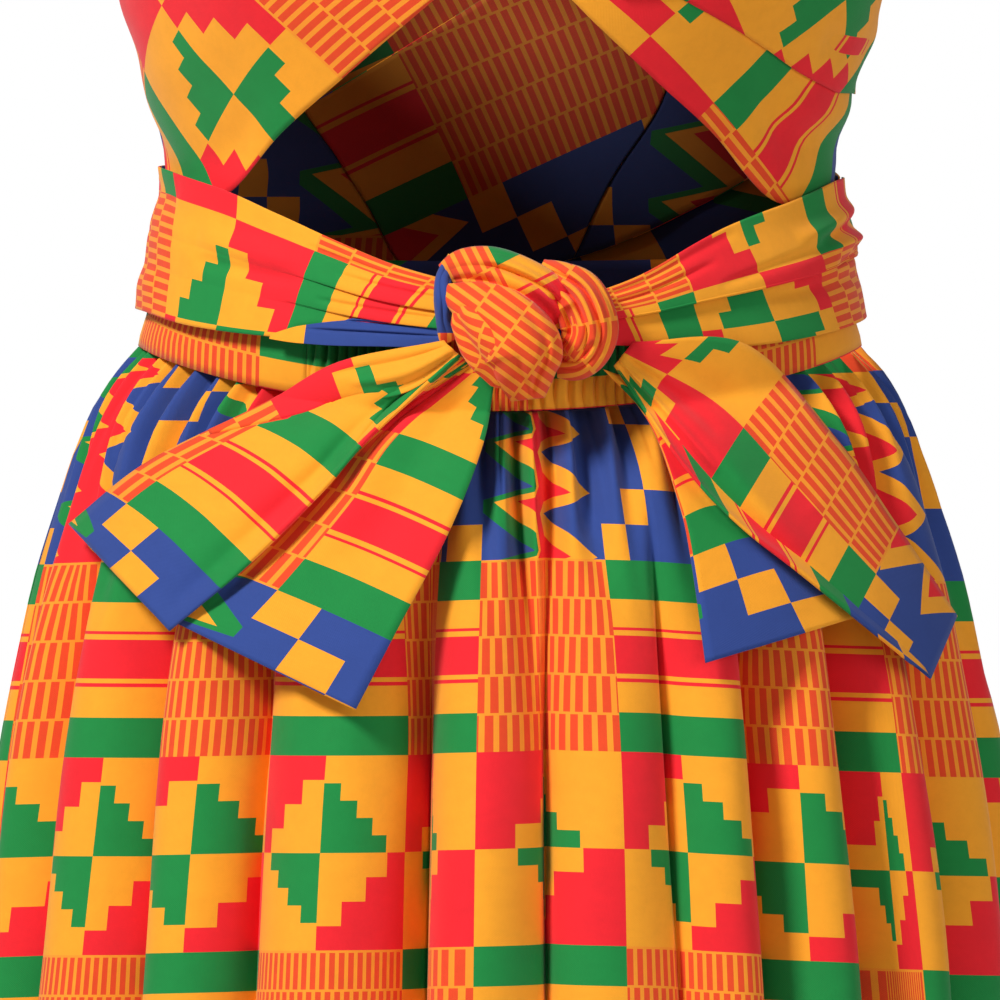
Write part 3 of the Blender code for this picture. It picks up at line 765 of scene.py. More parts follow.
# %% Laying the pattern on the skirt
Anchor = namedtuple("Anchor", "angle across")
FRONT_ANCHORS = table(
    Anchor, (-91, -262), (-62.8, -168), (-47.7, -84), (-29, 0), (-13.3, 88), (-8.6, 108), (-7.2, 237),
    (-2.5, 252), (4.6, 275.5), (6, 310), (13.9, 336), (30.9, 420), (47.8, 504), (52.5, 522),
    (54.5, 590), (74, 672), (91, 726))
BACK_ANCHORS = table(Anchor, (89, 0), (271, 900))
PATTERN_DROP = 150.0        # the drop at which the folds' cloth is measured
LEVEL_LEFT = -79.0          # where the first striped row starts, at the left, the centre, the right
LEVEL_CENTRE = -77.0
LEVEL_RIGHT = -85.0
SKIRT_COLUMNS = 440
SKIRT_ROWS = 64
ROW_CROWDING = 1.6          # rows lie closer near the waist


def pattern_columns(first, last, anchors):
    """The pattern's place across for each column of a skirt panel."""
    share = PATTERN_DROP / SKIRT_LENGTH
    form = read(SKIRT_FORM, "drop", PATTERN_DROP)
    start, end = fold_number(first, share), fold_number(last, share)
    numbers = [mix(start, end, i / SKIRT_COLUMNS) for i in range(SKIRT_COLUMNS + 1)]
    lengths = running([on_skirt(number, PATTERN_DROP, form) for number in numbers])

    def length_at(angle):
        place_in_columns = (fold_number(angle, share) - start) / (end - start) * SKIRT_COLUMNS
        i = min(max(int(place_in_columns), 0), SKIRT_COLUMNS - 1)
        return mix(lengths[i], lengths[i + 1], place_in_columns - i)

    marks = [(length_at(anchor.angle), anchor.across) for anchor in anchors]
    columns = []
    for length in lengths:
        i = 0
        while i < len(marks) - 2 and marks[i + 1][0] < length:
            i += 1
        t = (length - marks[i][0]) / (marks[i + 1][0] - marks[i][0])
        columns.append(mix(marks[i][1], marks[i + 1][1], t))
    return columns


def pattern_level(angle):
    """Height at which the first striped row starts."""
    side = math.sin(math.radians(angle))
    return mix(LEVEL_CENTRE, LEVEL_RIGHT if side > 0.0 else LEVEL_LEFT, abs(side))


def skirt_panel(first, last, anchors):
    """One width of the skirt, with the pattern hung straight down it."""
    across_pattern = pattern_columns(first, last, anchors)
    drops = [SKIRT_LENGTH * (i / SKIRT_ROWS)**ROW_CROWDING for i in range(SKIRT_ROWS + 1)]
    forms = [read(SKIRT_FORM, "drop", drop) for drop in drops]
    ends = [(fold_number(first, drop / SKIRT_LENGTH), fold_number(last, drop / SKIRT_LENGTH))
            for drop in drops]
    slopes = [0.0]
    for i in range(SKIRT_ROWS):
        out = forms[i + 1].half_width - forms[i].half_width
        slopes.append(slopes[-1] + math.hypot(drops[i + 1] - drops[i], out))

    def slope_at(drop):
        i = min(int(SKIRT_ROWS * (max(drop, 0.0) / SKIRT_LENGTH)**(1.0 / ROW_CROWDING)),
                SKIRT_ROWS - 1)
        return mix(slopes[i], slopes[i + 1], (drop - drops[i]) / (drops[i + 1] - drops[i]))

    def surface(around, down):
        row = round(down * SKIRT_ROWS)
        column = round(around * SKIRT_COLUMNS)
        number = mix(*ends[row], around)
        point = on_skirt(number, drops[row], forms[row])
        angle = mix(first, last, around)
        level_drop = band_edge(angle) - pattern_level(angle)
        v = TOP_ROW + slopes[row] - slope_at(level_drop)
        return point, across_pattern[column], v
    return surface


SKIRT_PANELS = (
    ("skirt_front", -90.0, 90.0, FRONT_ANCHORS),
    ("skirt_back", 90.0, 270.0, BACK_ANCHORS),
)
for panel_name, first, last, anchors in SKIRT_PANELS:
    lay_cloth(panel_name + "_cloth", panel_name, skirt_panel(first, last, anchors),
              (SKIRT_COLUMNS, SKIRT_ROWS), facing_in=True)

# %% [markdown]
# ## Waistband
#
# The band is a straight strip. Round the sides and back it lies flat. Across the front it is a
# casing with elastic, which pulls the cloth into close upright puckers.


# %% The two stretches of the band
SHIRR_DEPTH = 4.2
BAND_RADIUS = 118.0         # of a circle as long round as the band
BAND_PRINT_ROW = 108.7
ELASTIC_PRINT = 1.99        # cloth in each millimetre of the band
PLAIN_PRINT = 0.947
ELASTIC_COLUMN = 186.5
PLAIN_COLUMN = 449.0
PLAIN_START = ELASTIC_ANGLE + 0.1
ELASTIC_GRID = (420, 16)
PLAIN_GRID = (300, 10)


def band(first, last, pattern_start, fullness, pucker=None):
    """The waistband between two angles; pucker gives the shirring's height at an angle and share."""
    def surface(around, up):
        angle = mix(first, last, around)
        ripple = pucker(angle, up) if pucker else 0.0
        point = on_body(angle, band_edge(angle) + BAND_HEIGHT * up, ripple)
        length = BAND_RADIUS * math.radians(angle - first)
        return point, pattern_start + length * fullness, BAND_PRINT_ROW - BAND_HEIGHT * up
    return surface


def shirring(angle, up):
    """Upright puckers of the elastic casing, close, uneven and deepest between the stitch rows."""
    turn = math.radians(angle)
    edge = math.sin(math.pi * min((ELASTIC_ANGLE - abs(angle)) / 6.0, 0.5))
    pinch = abs(math.sin(98.0 * turn + 1.3 * math.sin(17.0 * turn) + 0.5 * math.sin(9.0 * up)))
    fine = math.cos(251.0 * turn + 2.0 * math.sin(23.0 * turn))
    between = 0.45 + 0.55 * math.sin(math.pi * up)
    return edge * (SHIRR_DEPTH * between * (math.sqrt(pinch) - 0.7) + 0.25 * fine)


lay_cloth("waistband_elastic_cloth", "waistband_elastic",
          band(-ELASTIC_ANGLE, ELASTIC_ANGLE, ELASTIC_COLUMN, ELASTIC_PRINT, shirring), ELASTIC_GRID)
lay_cloth("waistband_plain_cloth", "waistband_plain",
          band(PLAIN_START, 360.0 - PLAIN_START, PLAIN_COLUMN, PLAIN_PRINT), PLAIN_GRID)

# %% [markdown]
# ## Wound scarf
#
# One long scarf makes the whole bodice. Each stretch of it is a strip that is wrapped on the body's
# oval and bunched where it narrows. Cotton hardly stretches, so the print lies on a strip unpulled: a
# lay names one place, the print's column and row there, and how many degrees the print is turned.
# The place is measured along the strip and in from its lower edge, or round the body and up it.


# %% A stretch of the scarf
Lay = namedtuple("Lay", "measured run rise column row turn over")
STRIP, FRONT, BACK = "along the strip", "from the front middle", "from the back middle"
AS_CUT, TURNED_OVER = 1, -1
Part = namedtuple("Part", "along low high")
WHOLE = table(Part, (0, 0, 1), (1, 0, 1))
EDGE_SAMPLES = 96
GIRTH_HEIGHT = 70.0         # where the way round the body is measured
GIRTH_DEGREES = 300
BACK_MIDDLE = 180
EDGE_STEP = 0.02            # how far apart two cuts are that give an edge's direction


def print_at(lay, run, rise):
    """The print's column and row, so far along and so far up."""
    turn = math.radians(lay.turn)
    run, rise = run - lay.run, rise - lay.rise
    return (lay.column + lay.over * (math.cos(turn) * rise - math.sin(turn) * run),
            lay.row + math.cos(turn) * run + math.sin(turn) * rise)


girth = running([on_body(float(degree), GIRTH_HEIGHT, 0.0) for degree in range(GIRTH_DEGREES + 1)])


def round_body(angle, measured):
    """How far to the right of the front's or the back's middle an angle is, seen from the front."""
    whole = min(int(abs(angle)), len(girth) - 2)
    length = mix(girth[whole], girth[whole + 1], abs(angle) - whole)
    if measured == BACK:
        length = girth[BACK_MIDDLE] - length
    return length if angle > 0.0 else -length


def low_end(cut):
    return on_body(cut.low_angle, cut.low, 0.0)


def on_cut(cut, across):
    """The angle and height of a place across a cut."""
    return mix(cut.low_angle, cut.high_angle, across), mix(cut.low, cut.high, across)


def edge_lengths(rows):
    """Length of a strip's lower edge at equal steps along it, in millimetres."""
    cuts = [along(rows, i / EDGE_SAMPLES) for i in range(EDGE_SAMPLES + 1)]
    return running([low_end(cut) for cut in cuts])


def length_along(lengths, share):
    step = min(int(share * EDGE_SAMPLES), EDGE_SAMPLES - 1)
    return mix(lengths[step], lengths[step + 1], share * EDGE_SAMPLES - step)


def wound(rows, lay, relief, part=WHOLE, lift_all=0.0, reach=(0.0, 1.0)):
    """A stretch of the scarf: part of its width and length, raised by relief(across, along)."""
    lengths = edge_lengths(rows)
    sections = {}

    def section(lengthwise):
        """The cut here, its lower end, the edge's direction and length, and the part of the width."""
        if lengthwise not in sections:
            cut = along(rows, lengthwise)
            heading = (low_end(along(rows, lengthwise + EDGE_STEP))
                       - low_end(along(rows, lengthwise - EDGE_STEP))).normalized()
            edges = part(lengthwise) if callable(part) else read(part, "along", lengthwise)
            sections[lengthwise] = (cut, low_end(cut), heading,
                                    length_along(lengths, lengthwise), edges)
        return sections[lengthwise]

    def surface(across_share, along_share):
        lengthwise = mix(*reach, along_share)
        cut, low, heading, length, edges = section(lengthwise)
        across = mix(edges.low, edges.high, across_share)
        angle, height = on_cut(cut, across)
        if lay.measured != STRIP:
            run, rise = round_body(angle, lay.measured), height
        else:
            from_edge = (on_body(angle, height, 0.0) - low) / MM
            forward = from_edge.dot(heading)
            rise = math.copysign(math.sqrt(max(from_edge.length_squared - forward**2, 0.0)), across)
            run = length + forward
        lift = cut.lift + over_band(angle, height) + lift_all + relief(across, lengthwise)
        return (on_body(angle, height, lift), *print_at(lay, run, rise))
    return surface


def bunching(count, depth, start, end):
    """Pleats that run along a strip and deepen from one share of its length to another."""
    def height(across, lengthwise):
        grow = ease((lengthwise - start) / (end - start))
        wave = math.sin(2.0 * math.pi * (count * across + 0.35 * math.sin(5.0 * across + 1.0)
                                         + 0.25 * lengthwise))
        edge = math.sin(math.pi * min(max(across, 0.0), 1.0))**0.5
        return depth * grow * wave * edge
    return height


def side_bunching(count, depth, reach):
    """Pleats at the start of a strip, where it is drawn in at the side."""
    grown = bunching(count, depth, 0.0, reach)

    def height(across, lengthwise):
        return grown(across, max(reach - lengthwise, 0.0))
    return height


def relief_of(creases, length, *others):
    """Creases on a strip together with its bunching."""
    def height(across, lengthwise):
        return (creased(creases, SCARF_WIDTH, length, across, lengthwise)
                + sum(other(across, lengthwise) for other in others))
    return height


# %% [markdown]
# The strip over the right breast is folded over at its top edge, so its free edge lies across the
# front, and that layer shows the pattern turned round. Its lower edge is rolled. Inside the back,
# the cloth lies in three layers that were caught at different angles when the scarf was drawn round.

# %% The strips and their patterns
SCARF_WIDTH = 148.0         # where the scarf lies flat
BUST_LEFT_LAY = Lay(FRONT, -97, 90, 42, 191, 40, AS_CUT)
BUST_RIGHT_LAY = Lay(FRONT, 77, 87, 84, 155, 139, AS_CUT)
BUST_FOLDED_LAY = Lay(FRONT, 100, 107, 12, 191, 125, TURNED_OVER)
BACK_LAY = Lay(STRIP, 0, 0, 14, 75, 0, AS_CUT)
INSIDE_MIDDLE_LAY = Lay(BACK, -12, 54, 0, 300, -66, AS_CUT)
INSIDE_LEFT_LAY = Lay(BACK, -77, 41, 84, 82, -90, AS_CUT)
INSIDE_RIGHT_LAY = Lay(BACK, 56, 31, 84, 82, -90, AS_CUT)
SEARCH_STEPS = 26
FOLD_LOWEST, FOLD_HIGHEST, FOLD_TOP = 0.12, 0.4, 0.995      # shares of the width

Spot = namedtuple("Spot", "height x")
# the folded layer's free edge, on the front
FREE_EDGE = table(Spot, (91, 121), (98, 107), (107, 94), (115, 81), (125, 63))


def meeting(gap):
    """The share from 0 to 1 where a rising gap closes, found by halving."""
    low, high = 0.0, 1.0
    for _ in range(SEARCH_STEPS):
        middle = (low + high) / 2.0
        low, high = (middle, high) if gap(middle) < 0.0 else (low, middle)
    return (low + high) / 2.0


def folded_part(lengthwise):
    """How much of the right strip's width the folded layer covers."""
    cut = along(BUST_STRIP_RIGHT, lengthwise)

    def above_edge(across):
        angle, height = on_cut(cut, across)
        x = on_body(angle, height, 0.0).x / MM
        by_x = sorted(FREE_EDGE, key=lambda spot: spot.x)
        return height - read(by_x, "x", x).height
    return Part(lengthwise, min(max(meeting(above_edge), FOLD_LOWEST), FOLD_HIGHEST), FOLD_TOP)


bust_left_length = edge_lengths(BUST_STRIP_LEFT)[-1]
bust_right_length = edge_lengths(BUST_STRIP_RIGHT)[-1]
BUST_LEFT_CREASES = table(
    Crease, (0.05, 0, 0.1, 0.3, 7, -1.4), (0.22, 0, 0.3, 0.26, 9, 1.3),
    (0.42, 0.02, 0.44, 0.22, 8, -1), (0.66, 0, 0.6, 0.24, 8, 1), (0.85, 0.02, 0.78, 0.2, 7, -0.8),
    (0.3, 0.4, 0.55, 0.62, 11, 0.7))
BUST_RIGHT_CREASES = table(
    Crease, (0.03, 0.05, 0.08, 0.3, 6, 1.4), (0.1, 0.02, 0.16, 0.26, 5, -1.8),
    (0.17, 0.03, 0.2, 0.22, 5, 1.6), (0.12, 0.2, 0.3, 0.42, 10, 0.8))
BUST_FOLDED_CREASES = table(
    Crease, (0.3, 0.02, 0.34, 0.18, 5, -1.8), (0.4, 0, 0.46, 0.2, 6, 1.6),
    (0.52, 0.02, 0.6, 0.24, 6, -1.4), (0.68, 0, 0.78, 0.22, 7, 1.2), (0.34, 0.22, 0.52, 0.4, 9, 0.8))
back_relief = bunching(3.5, 0.9, 0.3, 1.0)
inner_relief = bunching(3.5, 0.7, 0.3, 1.0)

# the back stretches rise a little where they cross
BACK_PART = table(
    Part, (0, 0, 1), (0.25, 0, 1.04), (0.42, 0, 1.16), (0.62, 0, 1.16), (0.8, 0, 1.04), (1, 0, 1))

STRIP_GRID = (60, 130)
# name, solid, cuts, lay, relief, part of the width, lift, facing in, finish, flat size
STRIPS = (
    ("bust_strip_left_cloth", "bust_strip_left", BUST_STRIP_LEFT, BUST_LEFT_LAY,
     relief_of(BUST_LEFT_CREASES, bust_left_length, side_bunching(5.5, 1.1, 0.14)),
     WHOLE, 0.0, True, poplin, (0.15, 0.33)),
    ("bust_strip_right_cloth", "bust_strip_right", BUST_STRIP_RIGHT, BUST_RIGHT_LAY,
     relief_of(BUST_RIGHT_CREASES, bust_right_length, side_bunching(6.5, 1.5, 0.16)),
     WHOLE, 0.0, False, poplin, (0.15, 0.33)),
    ("bust_strip_right_folded", "bust_strip_right", BUST_STRIP_RIGHT, BUST_FOLDED_LAY,
     relief_of(BUST_FOLDED_CREASES, bust_right_length, side_bunching(6.5, 1.5, 0.16)),
     folded_part, 1.3, False, poplin, (0.11, 0.33)),
    ("neck_band_cloth", "neck_band", NECK_BAND, BACK_LAY, bunching(2.0, 0.5, 0.0, 0.3),
     WHOLE, 0.0, True, poplin, (0.03, 0.19)),
    ("back_cross_outer_cloth", "back_cross_outer", BACK_CROSS_OUTER, BACK_LAY, back_relief,
     BACK_PART, 0.0, False, poplin, (0.12, 0.27)),
    # this sheet inside the back stretch has its colour darkened as painted shade
    ("back_cross_outer_inside", "back_cross_outer", BACK_CROSS_OUTER, INSIDE_MIDDLE_LAY, back_relief,
     BACK_PART, -0.75, False, painted_shade_poplin, (0.12, 0.27)),
    ("back_cross_inner_cloth", "back_cross_inner", BACK_CROSS_INNER, BACK_LAY, inner_relief,
     BACK_PART, 0.0, True, poplin, (0.12, 0.27)),
)
for name, node, rows, lay, relief, part, lift_all, facing_in, finish, flat in STRIPS:
    lay_cloth(name, node, wound(rows, lay, relief, part, lift_all), STRIP_GRID,
              finish, facing_in)

# %% [markdown]
# The three layers inside the back are cut along slanting lines, so each is a sheet between two lines
# that give how far along the strip it starts and ends at each place across.

# %% The layers inside the back
LAYER_GRID = (40, 70)
RIGHT_LINE = table(Spot, (31, 26), (57, 41), (88, 61), (100, 55))
LEFT_LINE = table(Spot, (25, -34), (53, -54), (77, -71))


def crossing(across, line):
    """How far along the inner back strip a line lies, at a place across the strip."""
    def past(lengthwise):
        angle, height = on_cut(along(BACK_CROSS_INNER, lengthwise), across)
        return read(line, "height", height).x - on_body(angle, height, 0.0).x / MM
    return meeting(past)


def inside_layer(lay, from_line, to_line, lift_all):
    """One layer inside the back, between two slanting lines; None stands for the strip's end."""
    whole = wound(BACK_CROSS_INNER, lay, inner_relief, BACK_PART, lift_all)
    ends = {}

    def surface(across, share):
        if across not in ends:
            ends[across] = (crossing(across, from_line) if from_line else 0.0,
                            crossing(across, to_line) if to_line else 1.0)
        return whole(across, mix(*ends[across], share))
    return surface


# name, lay, the lines it starts and ends at, lift, flat size
INSIDE_LAYERS = (
    ("back_inside_right", INSIDE_RIGHT_LAY, None, RIGHT_LINE, -1.0, (0.12, 0.12)),
    ("back_inside_middle", INSIDE_MIDDLE_LAY, RIGHT_LINE, LEFT_LINE, -1.8, (0.12, 0.09)),
    ("back_inside_left", INSIDE_LEFT_LAY, LEFT_LINE, None, -1.0, (0.07, 0.09)),
)
# the layers inside the back are coloured darker, as painted shade
for layer_name, lay, from_line, to_line, lift_all, flat in INSIDE_LAYERS:
    lay_cloth(layer_name, "back_cross_inner", inside_layer(lay, from_line, to_line, lift_all),
              LAYER_GRID, painted_shade_poplin, facing_in=True)

# %% [markdown]
# Towards the knot the two stretches round the waist are drawn together, and their cloth lies in
# layers, one fold over the next. A course table follows the cloth up across the strip: where it is at
# the side and at the knot, and how far it stands out. The print's columns follow the cloth over each
# fold, so a tuck hides what it takes up. Along the strip the cloth lies in small creases, which take
# up a part of it: a wrap names the print's row at the side and the cloth in each millimetre, for its
# lower edge and for its top edge, because the two edges aren't drawn in alike.

# %% The stretches round the waist
Course = namedtuple("Course", "start end start_lift end_lift")
Wrap = namedtuple("Wrap", "column over low_row top_row low_fullness top_fullness")
WRAP_WIDTH = 53.0           # across a stretch at the side, where it lies flat
WRAP_LEFT = Wrap(124, AS_CUT, 91, 119, 1.25, 0.96)
WRAP_RIGHT = Wrap(135, TURNED_OVER, 99, 91, 1.12, 1.13)
WRAP_LEFT_COURSE = table(
    Course, (0, 0, 0, 0), (0.12, 0.14, 0.3, 0.4), (0.26, 0.3, 0.2, 0.4), (0.31, 0.36, 0, 0.8),
    (0.32, 0.25, 0, 2.2), (0.36, 0.3, 0.2, 3.2), (0.44, 0.46, 0.4, 3), (0.52, 0.62, 0.3, 1.4),
    (0.55, 0.64, 0, 1.4), (0.57, 0.5, 0.2, 3.8), (0.62, 0.56, 0.6, 4.8), (0.78, 0.76, 0.5, 4.2),
    (0.9, 0.9, 0.2, 3.2), (1, 1, 0, 2))
WRAP_RIGHT_COURSE = table(
    Course, (0, 0, 0, 0), (0.16, 0.16, 0.6, 0.4), (0.34, 0.34, 0.3, 0.2), (0.5, 0.56, 0, 0),
    (0.6, 0.66, 0.4, 0.8), (0.4, 0.42, 2, 2.4), (0.5, 0.52, 2.6, 2.8), (0.66, 0.68, 2, 2.6),
    (0.84, 0.85, 1.6, 2), (1, 1, 1, 1.4))


def layered(rows, course, wrap, creases, gather_from, gather_to):
    """A strip whose cloth follows a course table; it gathers between two shares of its length."""
    lengths = edge_lengths(rows)
    walked, corners = 0.0, []
    for before, row in zip(course[:1] + course, course):
        walked += WRAP_WIDTH * abs(row.start - before.start)
        corners.append(Vector((*row, wrap.column + wrap.over * walked)))

    def surface(up_share, lengthwise):
        *place_on_strip, column = rounded(corners, up_share)
        row = Course(*place_on_strip)
        drawn = ease((lengthwise - gather_from) / (gather_to - gather_from))
        across = mix(row.start, row.end, drawn)
        cut = along(rows, lengthwise)
        angle, height = on_cut(cut, across)
        lift = cut.lift + over_band(angle, height) + mix(row.start_lift, row.end_lift, drawn)
        lift += creased(creases, SCARF_WIDTH / 2.0, lengths[-1], across, lengthwise)
        length = length_along(lengths, lengthwise)
        print_row = mix(wrap.low_row + wrap.low_fullness * length,
                        wrap.top_row + wrap.top_fullness * length, row.start)
        return on_body(angle, height, lift), column, print_row
    return surface


WRAP_LEFT_CREASES = table(
    Crease, (0.62, 0.3, 0.7, 0.62, 7, 1.8), (0.46, 0.3, 0.52, 0.62, 4, -1.5),
    (0.86, 0, 0.8, 0.22, 7, -1.3), (0.16, 0, 0.22, 0.2, 8, 1.1), (0.84, 0.6, 0.86, 1, 2.5, -1.4),
    (0.4, 0.66, 0.42, 1, 2, -1.2), (0.7, 0.7, 0.72, 1, 2, -1.2), (0.1, 0.62, 0.16, 1, 2.5, -1.2))
WRAP_RIGHT_CREASES = table(
    Crease, (0.8, 0, 0.72, 0.32, 4, 2.2), (0.68, 0, 0.64, 0.26, 3, -2.4),
    (0.58, 0.02, 0.58, 0.24, 3, 2.2), (0.48, 0, 0.44, 0.22, 3, -2.2),
    (0.3, 0.02, 0.36, 0.46, 4, -1.4), (0.62, 0.16, 0.56, 0.62, 3, -1.4),
    (0.76, 0.6, 0.72, 1, 2.5, -1.4), (0.92, 0.5, 0.88, 1, 3, -1))
UNDER_WRAP_PART = table(
    Part, (0.58, -0.02, 0.02), (0.64, -0.04, 0.12), (0.78, -0.05, 0.26), (1, -0.02, 0.44))
UNDER_WRAP_LAY = Lay(STRIP, 0, 0, 3, 196, 0, AS_CUT)
UNDER_WRAP_CREASES = table(Crease, (0.1, 0.66, 0.16, 1, 2, -1.4), (0.22, 0.72, 0.3, 1, 2, -1.2))
WRAP_GRID = (120, 130)
UNDER_GRID = (40, 110)
UNDER_LIFT = 1.4
UNDER_REACH = (0.58, 1.0)
under_relief = relief_of(UNDER_WRAP_CREASES, edge_lengths(WAIST_WRAP_LEFT)[-1])
lay_cloth("waist_wrap_left_under", "waist_wrap_left",
          wound(WAIST_WRAP_LEFT, UNDER_WRAP_LAY, under_relief, UNDER_WRAP_PART, UNDER_LIFT,
                UNDER_REACH),
          UNDER_GRID, facing_in=True)
lay_cloth("waist_wrap_left_cloth", "waist_wrap_left",
          layered(WAIST_WRAP_LEFT, WRAP_LEFT_COURSE, WRAP_LEFT, WRAP_LEFT_CREASES, 0.5, 0.92),
          WRAP_GRID, facing_in=True)
lay_cloth("waist_wrap_right_cloth", "waist_wrap_right",
          layered(WAIST_WRAP_RIGHT, WRAP_RIGHT_COURSE, WRAP_RIGHT, WRAP_RIGHT_CREASES, 0.30, 0.95),
          WRAP_GRID)

# %% [markdown]
# ## Hanging ends
#
# Each end of the scarf is folded lengthwise in two leaves and fans out from the knot over the
# skirt. Across it there are four rails: outer edge, front fold, tuck and far edge. A curve that is
# pulled towards them rounds the folds, as soft cotton does.


# %% The two ends
FRONT_REACH = 150.0         # half of the skirt's width where the ends lie
FRONT_LIMIT = 0.9
SIDE_LIMIT = 0.985


def over_skirt(x, height, lift):
    """A point in front of the skirt's folds, or of the band above it, seen from the front at x."""
    body = read(BODY_FORM, "height", height)
    angle = math.degrees(math.asin(min(max(x / FRONT_REACH, -FRONT_LIMIT), FRONT_LIMIT)))
    drop = max(band_edge(angle) - height, 0.0)
    skirt = read(SKIRT_FORM, "drop", drop)
    half_width = max(body.half_width, skirt.half_width) + lift
    reach = max(body.front, skirt.front) + lift
    aside = min(abs(x) / half_width, SIDE_LIMIT)
    return place(x, height, reach * math.sqrt(1.0 - aside * aside))


TAIL_COLUMNS = 110
TAIL_ROWS = 80
TAIL_LENGTH = 175.0
TAIL_WIDTH = 150.0


def rails(leaf):
    """Outer edge, front fold, tuck and far edge of a hanging end."""
    return [Vector(leaf[i:i + 3]) for i in range(0, len(leaf), 3)]


def tail(rows, pattern_across, pattern_hem, creases):
    """A hanging end: two rows of eight corners give the pattern's place across it and at its hem."""
    def laid(across, lengthwise):
        edge, ridge, tuck, far = rails(along(rows, lengthwise))
        corners = (edge, edge.lerp(ridge, 0.5), edge.lerp(ridge, 0.88), ridge,
                   tuck, tuck.lerp(far, 0.12), tuck.lerp(far, 0.5), far)
        return rounded(corners, across)

    above_hem = []
    for column in range(TAIL_COLUMNS + 1):
        from_hem = [over_skirt(*laid(column / TAIL_COLUMNS, row / TAIL_ROWS))
                    for row in range(TAIL_ROWS, -1, -1)]
        above_hem.append(running(from_hem)[::-1])

    def surface(across, lengthwise):
        spot = laid(across, lengthwise)
        spot.z += creased(creases, TAIL_WIDTH, TAIL_LENGTH, across, lengthwise)
        column, row = round(across * TAIL_COLUMNS), round(lengthwise * TAIL_ROWS)
        return (over_skirt(*spot), rounded(pattern_across, across),
                rounded(pattern_hem, across) + above_hem[column][row])
    return surface


TAIL_LEFT_CREASES = table(
    Crease, (0.1, 0.05, 0.14, 0.95, 8, 1.6), (0.2, 0.1, 0.26, 1, 7, -2.6),
    (0.34, 0, 0.36, 0.8, 5, 2.2), (0.62, 0, 0.66, 0.9, 6, 2.6), (0.7, 0, 0.76, 0.95, 5, -2.8),
    (0.82, 0, 0.86, 0.8, 6, 2), (0.92, 0.05, 0.93, 0.7, 5, -2), (0.15, 0, 0.3, 0.3, 3, -2.2),
    (0.3, 0, 0.38, 0.34, 2.5, -2), (0.78, 0, 0.8, 0.34, 2.5, -2.2))
TAIL_RIGHT_CREASES = table(
    Crease, (0.08, 0, 0.12, 0.95, 5, 1.8), (0.2, 0, 0.26, 0.9, 6, -2.2), (0.6, 0.05, 0.58, 1, 6, 2),
    (0.72, 0, 0.7, 0.85, 7, -3), (0.84, 0.1, 0.8, 0.7, 6, 2.2), (0.93, 0.05, 0.9, 0.6, 5, -2.2),
    (0.66, 0, 0.64, 0.36, 2.5, -2.4), (0.8, 0, 0.78, 0.34, 2.5, 2.4), (0.88, 0, 0.86, 0.3, 2.5, -2.2))
TAIL_LEFT_ACROSS = (92.0, 65.0, 44.5, 38.0, -65.0, -71.7, -92.8, -120.5)
TAIL_LEFT_HEM = (57.5,) * 4 + (54.5,) * 4
TAIL_RIGHT_ACROSS = (85.0, 57.5, 36.6, 30.0, 29.0, 22.5, 2.0, -25.0)
TAIL_RIGHT_HEM = (43.0,) * 4 + (40.0,) * 4
for name, rows, across, hem, creases, flat, facing_in in (
        ("tail_left", TAIL_LEFT, TAIL_LEFT_ACROSS, TAIL_LEFT_HEM, TAIL_LEFT_CREASES,
         (0.10, 0.165), False),
        ("tail_right", TAIL_RIGHT, TAIL_RIGHT_ACROSS, TAIL_RIGHT_HEM, TAIL_RIGHT_CREASES,
         (0.10, 0.15), True)):
    lay_cloth(name + "_cloth", name, tail(rows, across, hem, creases), (TAIL_COLUMNS, TAIL_ROWS),
              facing_in=facing_in)

# %% [markdown]
# Near the knot the left end's outer edge is folded over onto its front leaf, so a narrowing flap lies
# there, with a soft rolled edge.

# %% The folded-over edge of the left end
Flap = namedtuple("Flap", "along wide lift")
LEFT_FLAP = table(
    Flap, (0, 0.95, 2), (0.1, 0.88, 2.6), (0.25, 0.49, 3), (0.4, 0.33, 2.6), (0.5, 0.19, 2),
    (0.62, 0.03, 0.8))
LEFT_FLAP_END = 0.62
FLAP_REST = 0.2
FLAP_SIZE = (30.0, 100.0)
FLAP_GRID = (40, 90)
LEFT_FLAP_CREASES = table(
    Crease, (0.3, 0, 0.25, 0.45, 3, -1.6), (0.6, 0, 0.55, 0.4, 3, 1.5), (0.8, 0, 0.8, 0.3, 2.5, -1.4))


def folded_edge(rows, flaps, end, creases, pattern_edge, pattern_hem):
    """A flap between the outer edge of a hanging end and a line on its front leaf."""
    edge_from_hem = running([over_skirt(*rails(along(rows, 1.0 - row / TAIL_ROWS))[0])
                             for row in range(TAIL_ROWS + 1)])

    def surface(over, lengthwise):
        place_on_leaf = end * lengthwise
        edge, ridge, *_ = rails(along(rows, place_on_leaf))
        flap = read(flaps, "along", place_on_leaf)
        spot = edge.lerp(ridge, flap.wide * over)
        roll = math.sin(math.pi * min(over + 0.12, 1.0))**0.5
        spot.z += FLAP_REST + flap.lift * roll + creased(creases, *FLAP_SIZE, over, lengthwise)
        folded = (ridge - edge).length * flap.wide * over
        step = round((1.0 - place_on_leaf) * TAIL_ROWS)
        return over_skirt(*spot), pattern_edge + folded, pattern_hem + edge_from_hem[step]
    return surface


lay_cloth("tail_left_flap", "tail_left",
          folded_edge(TAIL_LEFT, LEFT_FLAP, LEFT_FLAP_END, LEFT_FLAP_CREASES, TAIL_LEFT_ACROSS[0],
                      TAIL_LEFT_HEM[0]),
          FLAP_GRID)

# %% [markdown]
# ## Knot
#
# Three turns of the scarf show in the knot. Each is a fat roll of cloth that is flattened, pinched at
# its ends and pleated along its length.


# %% The turns of the knot
GIRTH_OF_TURN = 5.0         # length round a flattened roll, in half widths
ROLL_GRID = (96, 64)
ROLL_STEP = 0.02
PLEAT_REACH = 14.0


def path_length(rows):
    return sum(math.hypot(b.x - a.x, b.up - a.up) for a, b in zip(rows, rows[1:]))


